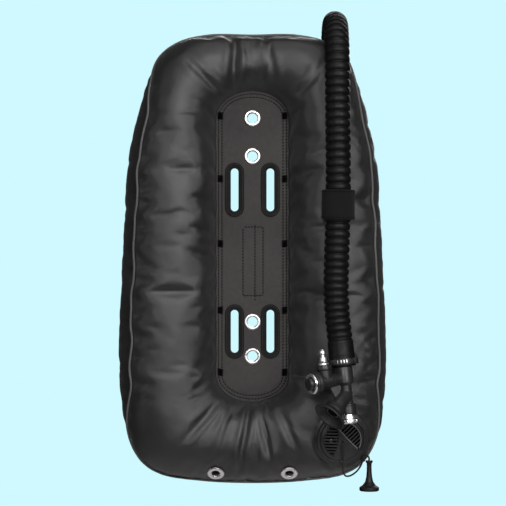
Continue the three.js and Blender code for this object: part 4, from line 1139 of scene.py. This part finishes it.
def make_tie(name, place, inner, width, body, node_name):
    outer, half = inner + 1.4, width / 2
    band = lathe(name, [(inner, -half), (outer, -half), (outer, half), (inner, half)], place, 72, 0.35)
    teeth = []
    for k in range(9):
        angle = math.radians(-60 + k * 7)
        teeth.append(box_piece(name + "_tooth", place, on_front(inner + 1.55, angle),
                               (0.7, 0.5, width * 0.62), angle))
    head = box_piece(name + "_head", place, on_front(inner + 3.0, 1.0), (6.5, 4.2, width + 0.8), 1.0, 0.6)
    whole = joined(name, [band, head] + teeth)
    finish_piece(whole, PLASTIC, body, [node_name])
    return whole


def box_piece(name, place, centre, size, turn=0.0, bevel=0.15):
    """A box at a spot of a place, turned about the place's axis, edges rounded."""
    sx, sy, sz = (s / 2 for s in size)
    corners = [(x, y, z) for x in (-sx, sx) for y in (-sy, sy) for z in (-sz, sz)]
    c, s = math.cos(turn), math.sin(turn)
    local = [(centre[0] + x * c - y * s, centre[1] + x * s + y * c, centre[2] + z) for x, y, z in corners]
    faces = [(0, 1, 3, 2), (4, 6, 7, 5), (0, 4, 5, 1), (2, 3, 7, 6), (0, 2, 6, 4), (1, 5, 7, 3)]
    obj = mesh_object(name, place.world(local), faces, smooth=False)
    work = bmesh.new()
    work.from_mesh(obj.data)
    bmesh.ops.bevel(work, geom=work.edges[:], offset=bevel * MM, segments=2, affect="EDGES", profile=0.6)
    bmesh.ops.recalc_face_normals(work, faces=work.faces)
    work.to_mesh(obj.data)
    work.free()
    obj.data.shade_smooth()
    obj.data.set_sharp_from_angle(angle=math.radians(40))
    return obj


def ellipse(angle, wide, deep, z):
    return np.stack([wide * np.cos(angle), deep * np.sin(angle), 0 * angle + z], axis=-1)


def make_hose():
    hose = tube("corrugated_hose_rings", HOSE_LINE, hose_radius(), 40)
    hose.data.materials.append(HOSE)
    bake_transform(hose)
    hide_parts("corrugated_hose")

    tie = make_tie("elbow_tie", upright((113, 93, 219.2)), 17.3, 9.5, "wing", "elbow_cable_tie")
    point, axis = place_on_hose(43.6)
    sleeve_place = Place(point, axis, (0, 1, 0))
    angle = np.arange(72) * 2 * math.pi / 72
    profile = filleted([(1.5, -20), (1.5, 20), (0.0, 20), (0.0, -20)], 1.0)
    rows = []
    for share, z in profile:
        wide = 17.7 + (22.2 - 17.7) * share / 1.5
        deep = 17.7 + (19.3 - 17.7) * share / 1.5
        swell = 0.5 * math.cos(z / 20 * math.pi / 2) * (share / 1.5)
        rows.append(ellipse(angle, wide + swell, deep + swell, z))
    grid = np.stack(rows, axis=0)
    band = mesh_object("retainer_sleeve", sleeve_place.world(grid.reshape(-1, 3)),
                       grid_faces(len(rows), 72, wrap_rows=True, wrap_columns=True))
    outward(band)
    fine = band.modifiers.new("fine", "SUBSURF")
    fine.levels = fine.render_levels = 1
    finish_piece(band, NEOPRENE, "hose_retainer", ["hose_retainer"])
    lines = []
    for z in (-17.2, 17.2):
        pts = ellipse(angle, 22.75, 19.8, z)
        pts = np.concatenate([pts, pts[:1]])
        normals = np.stack([np.cos(angle), np.sin(angle), 0 * angle], axis=-1)
        normals = np.concatenate([normals, normals[:1]])
        lines.append((sleeve_place.world(pts) / MM, normals @ np.array(sleeve_place.turn).T))
    sewn = stitches("retainer_stitching", lines, 2.6, 4.0)
    finish_piece(sewn, THREAD, "hose_retainer")
    return hose, tie, [band, sewn]


# ---------------------------------------------------------------- inflator
def make_inflator():
    up = INFLATOR
    turn = math.radians(30)
    arm_axis = Vector((-math.cos(turn), -math.sin(turn), -0.08)).normalized()
    mouth_turn = math.radians(35)
    mouth_axis = Vector((-math.cos(mouth_turn), -math.sin(mouth_turn) * math.sqrt(2), -math.cos(mouth_turn)))
    mouth_axis.normalize()
    arm = Place((0, 0, -50), arm_axis, (Vector((0, 0, 1)) - arm_axis * arm_axis.z), up)
    across = Vector((mouth_axis.z, 0, -mouth_axis.x)).normalized()
    mouth = Place((0, 0, -73), mouth_axis, across, up)
    tower = upright(Vector((0, 0, -50)) + arm_axis * 30, up)

    stem = lathe("inflator_stem", [
        (0, -0.3), (10, -0.3), (10, -35), (12, -35.6), (12, -57), (8.2, -60), (8.2, -84), (8.6, -84.6),
        (11.0, -85.2), (11.2, -87), (10.9, -88.4), (10.9, -98), (10.5, -99), (9.9, -99), (9.9, -88), (0, -88),
    ], up, 64, 0.8)
    shell = [
        lathe("stem_rib", [(10.9, -86.9), (11.35, -86.6), (11.35, -85.8), (10.9, -85.5)], up, 64, 0.2),
        lathe("arm_tube", [
            (0, -2), (8.4, -2), (8.4, 12), (9.2, 20), (9.2, 23), (10.0, 24), (10.0, 39), (12.2, 40.6),
            (15.0, 41.4), (15.5, 42.6), (15.5, 45.6), (15.1, 46), (15.1, 46.8), (15.5, 47.2), (15.5, 49.2),
            (14.9, 50), (9.4, 50), (9.4, 42.8), (0, 42.8),
        ], arm, 72, 0.6),
        lathe("tower", [(0, 0), (9.6, 0), (9.6, 14), (10.6, 15.2), (10.6, 20.2), (10.0, 21), (2.8, 21),
                        (2.8, 12), (0, 12)], tower, 64, 0.7),
        lathe("duct", [(0, 0), (9.75, 0), (9.75, 37), (6.5, 37), (6.5, 8), (0, 8)], mouth, 56, 0.6),
    ]
    for z in (26, 29.2, 32.4, 35.6):
        profile = [(9.9, z - 0.7), (10.6, z - 0.4), (10.6, z + 0.4), (9.9, z + 0.7)]
        shell.append(lathe("arm_rib", profile, arm, 64, 0.2))
    web = mesh_object("arm_web", upright((0, 0, 0), up).world([
        (x * -math.cos(turn) + t * math.sin(turn), x * -math.sin(turn) - t * math.cos(turn), z)
        for t in (-1.2, 1.2) for x, z in ((4, -54), (26, -56), (15, -81))
    ]), [(0, 1, 2), (3, 5, 4), (0, 3, 4, 1), (1, 4, 5, 2), (2, 5, 3, 0)], smooth=False)
    outward(web)
    finish_piece(web, WEB, "inflator")
    whole = joined("inflator_shell", [stem] + shell)
    finish_piece(whole, VALVE, "inflator", ["inflator_body"])

    cuff = lathe("hose_cuff", [
        (10.4, -35), (16.9, -35), (17.3, -34), (17.3, -22), (17.6, -19.5), (17.3, -17), (17.1, -6),
        (17.3, -3), (16.8, -0.6), (16.2, -0.3), (10.4, -0.3),
    ], up, 80, 0.8)
    finish_piece(cuff, HOSE, "inflator", ["hose_end_cuff"])
    tie_place = upright((0, 0, -29), up)
    tie = make_tie("cuff_tie", tie_place, 17.6, 7.2, "inflator", "cuff_cable_tie")
    glints = []
    for angle in (-22, -8, 4, 15):
        a = math.radians(angle)
        glints.append(box_piece("tie_pawl", tie_place, on_front(19.15, a), (1.0, 0.5, 4.4), a))
    pawls = joined("tie_pawls", glints)
    finish_piece(pawls, CHROME, "inflator")

    nipple_place = upright((0, 0, 21), tower)
    nipple = lathe("nipple", [
        (1.2, -8), (2.4, -8), (2.4, 0.3), (7.0, 0.3), (7.0, 2.8), (5.4, 4.4), (4.9, 6), (4.9, 10.2),
        (3.4, 11.4), (3.4, 14.2), (4.5, 15.4), (4.5, 18.4), (3.4, 21.2), (2.4, 21.6), (1.2, 21.6),
    ], nipple_place, 48, 0.35)
    finish_piece(nipple, CHROME, "inflator", ["quick_connect_nipple"])
    ring = lathe("button_ring", [
        (9.4, 50.3), (13.8, 50.3), (13.8, 51.4), (12.8, 53.2), (10.6, 53.6), (9.4, 52.8),
    ], arm, 72, 0.5)
    finish_piece(ring, CHROME, "inflator", ["inflate_button_ring"])
    button = lathe("button_cap", [
        (7.5, 47), (9.0, 47), (9.0, 56), (8.2, 57.4), (6.0, 58.2), (3.0, 58.5), (0, 58.5), (0, 54), (7.5, 54),
    ], arm, 64, 0.8)
    finish_piece(button, VALVE, "inflate_button", ["inflate_button"])

    cup = lathe("purge_cup", [
        (8.2, -97), (9.6, -97), (9.6, -104.9), (10.7, -105.7), (10.7, -110), (9.7, -111), (0, -111),
        (0, -108.5), (8.2, -108.5),
    ], up, 96, 0.5)
    grips = []
    for k in range(20):
        a = 2 * math.pi * k / 20
        grips.append(box_piece("cup_rib", up, (*polar(10.45, a), -107.9), (0.9, 1.2, 3.8), a, 0.2))
    cup = joined("purge_cup", [cup] + grips)
    finish_piece(cup, CHROME, "deflate_button", ["deflate_button"])

    def narrow(r, z):
        return 1 - 0.28 * min(1, max(0, (z - 36) / 8.5))

    mouthpiece = lathe("mouth_lip", [
        (10.05, 29), (14.4, 29), (14.75, 29.6), (14.75, 36), (15.6, 38.6), (18.2, 41.2), (21.6, 43.2),
        (23, 44.6), (22.6, 46), (20.4, 45.4), (16.6, 42.6), (13.4, 39.6), (10.05, 38),
    ], mouth, 72, 0.5, oval=narrow)
    finish_piece(mouthpiece, RUBBER, "inflator", ["mouthpiece"])
    # painted shade: a dark disc in the mouthpiece's throat
    throat = lathe("mouth_throat_shade", [(0, 36.4), (6.4, 36.4), (6.4, 36.9), (0, 36.9)], mouth, 40, 0.1)
    finish_piece(throat, SHADE_FILL, "inflator")
    return [whole, web, cuff, tie, pawls, nipple, ring, button, cup, mouthpiece, throat]


# ---------------------------------------------------------------- dump valve
def bar(name, place, start, end, width, low, high, bevel=0.3):
    """A straight rib from start to end on a place's face, between two heights."""
    (x0, y0), (x1, y1) = start, end
    length = math.hypot(x1 - x0, y1 - y0)
    turn = math.atan2(y1 - y0, x1 - x0)
    centre = ((x0 + x1) / 2, (y0 + y1) / 2, (low + high) / 2)
    return box_piece(name, place, centre, (length, width, high - low), turn, bevel)


def dome(x, y):
    """Height of the cap's face over its rim."""
    return 9.6 + 6.0 * math.sqrt(max(0, 1 - (math.hypot(x, y) / 28.5) ** 2))


def clip_to(inside, start, end):
    """The stretch of a line that lies in a region, as its two ends, or None."""
    steps, hits = 160, []
    for k in range(steps + 1):
        t = k / steps
        q = (start[0] + (end[0] - start[0]) * t, start[1] + (end[1] - start[1]) * t)
        if inside(*q):
            hits.append(q)
    return (hits[0], hits[-1]) if len(hits) > 2 else None


def grille_bars(name, place, inside, centre, turn, pitch, width):
    """Bars side by side across a region of the cap, each in short pieces that follow its face."""
    pieces, ends, half_count = [], 6, 8
    c, s = polar(1, turn)
    for k in range(-half_count, half_count + 1):
        off = (k + 0.5) * pitch
        mid = (centre[0] - s * off, centre[1] + c * off)
        span = clip_to(inside, (mid[0] - c * 40, mid[1] - s * 40), (mid[0] + c * 40, mid[1] + s * 40))
        if span is None:
            continue
        for j in range(ends):
            a = [span[0][i] + (span[1][i] - span[0][i]) * j / ends for i in (0, 1)]
            b = [span[0][i] + (span[1][i] - span[0][i]) * (j + 1) / ends for i in (0, 1)]
            top = dome((a[0] + b[0]) / 2, (a[1] + b[1]) / 2) + 0.1
            pieces.append(bar(name, place, a, b, width, top - 2.6, top, 0.25))
    return pieces


def arc_rib(name, place, points, width, lift):
    """A rib that follows the cap's face along points."""
    line = resample(points, 0.8)
    path = [(x, y, dome(x, y) + lift) for x, y in line]
    return tube(name, place.world(path) / MM, width / 2, 10)


def make_dump_valve():
    point, normal = shell_face(DUMP_X, DUMP_Z, -1)
    up = Vector((0, 0, 1)) - normal * normal.z
    place = Place(point, normal, up)
    flange = lathe("dump_weld_flange", [
        (32.4, -2.2), (37.8, -0.4), (38.2, 0.8), (34.0, 2.6), (32.4, 2.6),
    ], place, 96, 0.7)
    base = lathe("dump_base", [
        (20, -14), (33.6, -14), (33.6, 6.4), (32.9, 7.6), (31.4, 8), (30.5, 8), (30.5, -10), (20, -10),
    ], place, 96, 0.7)
    lugs = [bar("dump_lug", place, polar(33.0, a), polar(33.0, a + 0.12), 1.6, 3.0, 8.2)
            for a in np.arange(math.radians(168), math.radians(232), 0.115)]
    body = joined("dump_valve_body", [base, flange] + lugs)
    finish_piece(body, VALVE, "wing", ["dump_valve_base"])

    def cap_edge(x):
        return 15.0 - 1.02 * (x + 6) + 0.004 * (x - 8) ** 2

    def lens(x, y):
        return math.hypot(x, y) < 25.6 and -25 < x < -6.4 - 0.0105 * (y - 3) ** 2 - 0.024 * (y - 3)

    def far_side(x, y):
        return math.hypot(x, y) < 25.2 and y > cap_edge(x) + 0.5 and x > -7

    outer = [(30.1, -9.7), (30.1, 7.4), (29.6, 8.6), (27.9, 9.4), (27.2, 10.4), (25.8, 11.4), (25.2, 11.2),
             (25.2, 6.4), (27.4, 6.4), (27.4, -9.7)]
    rim = lathe("dump_cap_rim", outer, place, 96, 0.5)
    # painted shade: a dark cone under the cap's grille, in place of the shaded inside of the valve
    floor = lathe("dump_cap_shade_fill", [(2.0, 7.2), (25.4, 4.0), (25.4, 5.2), (2.0, 8.4)], place, 72, 0.2)
    pieces = [rim]
    cells = 44
    grid = np.linspace(-26, 26, cells + 1)
    verts, faces, lookup = [], [], {}

    def vertex(i, j):
        if (i, j) not in lookup:
            x, y = grid[i], grid[j]
            r = math.hypot(x, y)
            if r > 25.7:
                x, y = x * 25.7 / r, y * 25.7 / r
            lookup[i, j] = len(verts)
            verts.append((x, y, dome(x, y)))
        return lookup[i, j]

    for i in range(cells):
        for j in range(cells):
            cx, cy = (grid[i] + grid[i + 1]) / 2, (grid[j] + grid[j + 1]) / 2
            if math.hypot(cx, cy) > 26.3 or lens(cx, cy) or far_side(cx, cy) or math.hypot(cx, cy) < 1.6:
                continue
            faces.append((vertex(i, j), vertex(i + 1, j), vertex(i + 1, j + 1), vertex(i, j + 1)))
    face = mesh_object("dump_cap_face", place.world(verts), faces)
    pieces.append(thickened(face, 1.8, place.turn @ Vector((0, 0, 1)), 35))
    pieces += grille_bars("slat", place, lens, (-16, -1), 0.0, 4.3, 2.0)
    pieces += grille_bars("slat", place, far_side, (12, 8), math.radians(42), 4.4, 1.6)
    boss_place = upright((-16.5, 0.5, dome(-16.5, 0.5) - 0.8), place)
    boss = lathe("grille_boss", [(0, 0), (2.6, 0), (2.6, 1.2), (1.4, 1.9), (0, 1.9)], boss_place, 28, 0.4)
    pieces.append(boss)
    cap = joined("dump_valve_cover", pieces)
    finish_piece(cap, VALVE, "wing", ["dump_valve_cap"])
    finish_piece(floor, SHADE_FILL, "wing")

    edge = [(x, cap_edge(x)) for x in np.linspace(-6.5, 20.5, 20)]
    rib = arc_rib("dump_edge_rib", place, edge, 1.5, 0.35)
    rim_arc = [polar(25.0, a) for a in np.linspace(math.radians(98), math.radians(-24), 40)]
    bright = arc_rib("dump_rim_rib", place, rim_arc, 1.5, 0.5)
    lens_edge = [(-6.2 - 0.0105 * (y - 3) ** 2, y) for y in np.linspace(-22, 22, 24)]
    seam = arc_rib("dump_lens_rib", place, lens_edge, 1.1, 0.15)
    # the ribs are real; their light grey colour is a painted highlight
    ribs = joined("dump_valve_ribs", [rib, bright])
    finish_piece(ribs, RIB_HIGHLIGHT_PAINT, "wing")
    finish_piece(seam, VALVE, "wing")


def make_pull_cord():
    line = resample(spline(CORD_ROUTE, per=16), 0.8)
    cord = tube("pull_cord_line", line, CORD_RADIUS, 10)
    cord.data.materials.append(CORD)
    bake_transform(cord)
    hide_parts("dump_pull_cord")
    knob_place = upright(CORD_ROUTE[-1])
    knob = lathe("pull_knob_grip", [
        (1.65, -0.3), (4.4, -0.3), (4.8, -0.9), (4.8, -2.8), (3.5, -4.4), (3.3, -8), (3.5, -16), (4.1, -23),
        (5.6, -29.5), (9.0, -34.2), (13.0, -36.8), (13.5, -37.8), (13.5, -40.6), (12.6, -42), (3.25, -42),
        (1.65, -39),
    ], knob_place, 64, 0.5)
    finish_piece(knob, KNOB, "pull_knob", ["pull_knob"])
    return cord, knob


# ---------------------------------------------------------------- elbow behind the shoulder
def make_elbow():
    point, normal = shell_face(ELBOW_X, ELBOW_Z, 1)
    place = Place(point, normal)
    flange = lathe("port_flange", [
        (11, -12), (25.6, -12), (25.6, 1.4), (25.0, 2), (17, 2), (17, 9), (11, 9),
    ], place, 80, 0.6)
    weld = lathe("port_weld_ring", [
        (24.2, -1.6), (30.2, -0.2), (30.6, 0.8), (26.0, 2.2), (24.2, 2.2),
    ], place, 80, 0.6)
    flange = joined("elbow_port", [flange, weld])
    finish_piece(flange, PLASTIC, "wing", ["elbow_port_flange"])
    nut = lathe("elbow_nut", [
        (17.4, 2.3), (21.5, 2.3), (21.5, 14.6), (20.6, 15.6), (14.8, 15.6), (14.8, 13.5), (17.9, 13.5),
        (17.9, 10.4), (17.4, 10),
    ], place, 80, 0.6)
    grips = [
        box_piece("nut_grip", place, (*polar(21.7, a), 8.4), (1.6, 2.2, 10.5), a, 0.4)
        for a in np.arange(18) * 2 * math.pi / 18
    ]
    nut = joined("elbow_nut", [nut] + grips)
    finish_piece(nut, PLASTIC, "wing", ["elbow_retaining_nut"])
    foot = point + normal * 10.8
    riser = foot + normal * 6.7
    outlet = Vector((113, 93, 213.7))
    run = 0.6 * (outlet.y - riser.y)
    first = riser + normal * run
    second = Vector((outlet.x, outlet.y, riser.z + run))
    bend = [foot]
    for k in range(25):
        t = k / 24
        bend.append(riser * (1 - t) ** 3 + first * 3 * t * (1 - t) ** 2
                    + second * 3 * t * t * (1 - t) + outlet * t ** 3)
    pipe = tube("elbow_pipe", resample([tuple(q) for q in bend], 1.6), 12.8, 40)
    profile = [(0, -6), (14.2, -6), (14.6, -5), (14.6, -1), (14.0, -0.4), (0, -0.4)]
    collar = lathe("elbow_collar", profile, upright(outlet), 56, 0.5)
    elbow = joined("elbow_bend", [pipe, collar])
    finish_piece(elbow, PLASTIC, "wing", ["elbow"])


# ---------------------------------------------------------------- pieces that keep their CAD shape
KEPT = {
    "inner_bladder": FILM, "centre_interlining": BINDING, "drain_grommet_washer_left": STEEL,
    "drain_grommet_washer_right": STEEL, "elbow_gasket": RUBBER, "inflate_valve_stem": STEEL,
    "inflate_spring": STEEL, "deflate_valve_stem": STEEL, "deflate_spring": STEEL,
    "dump_valve_seal": RUBBER, "dump_valve_poppet": PLASTIC, "dump_valve_spring": STEEL,
    "cord_guide_loop": CORD,
}


def keep_nodes():
    for name, material in KEPT.items():
        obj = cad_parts[name]
        obj.data.materials.clear()
        obj.data.materials.append(material)
        obj.data.shade_smooth()


def squeeze_spring(name):
    """Gives the spring a mesh of its own; it is not shortened."""
    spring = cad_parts[name]
    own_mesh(spring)


make_cell()
make_panel()
make_grommets()
hose, elbow_tie, sleeve = make_hose()
inflator = make_inflator()
make_dump_valve()
pull_cord, pull_knob = make_pull_cord()
make_elbow()
keep_nodes()
squeeze_spring("inflate_spring")
squeeze_spring("deflate_spring")
squeeze_spring("dump_valve_spring")

for entry in (cad_box, [list(corner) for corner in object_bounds()]):
    print("bounds", entry)
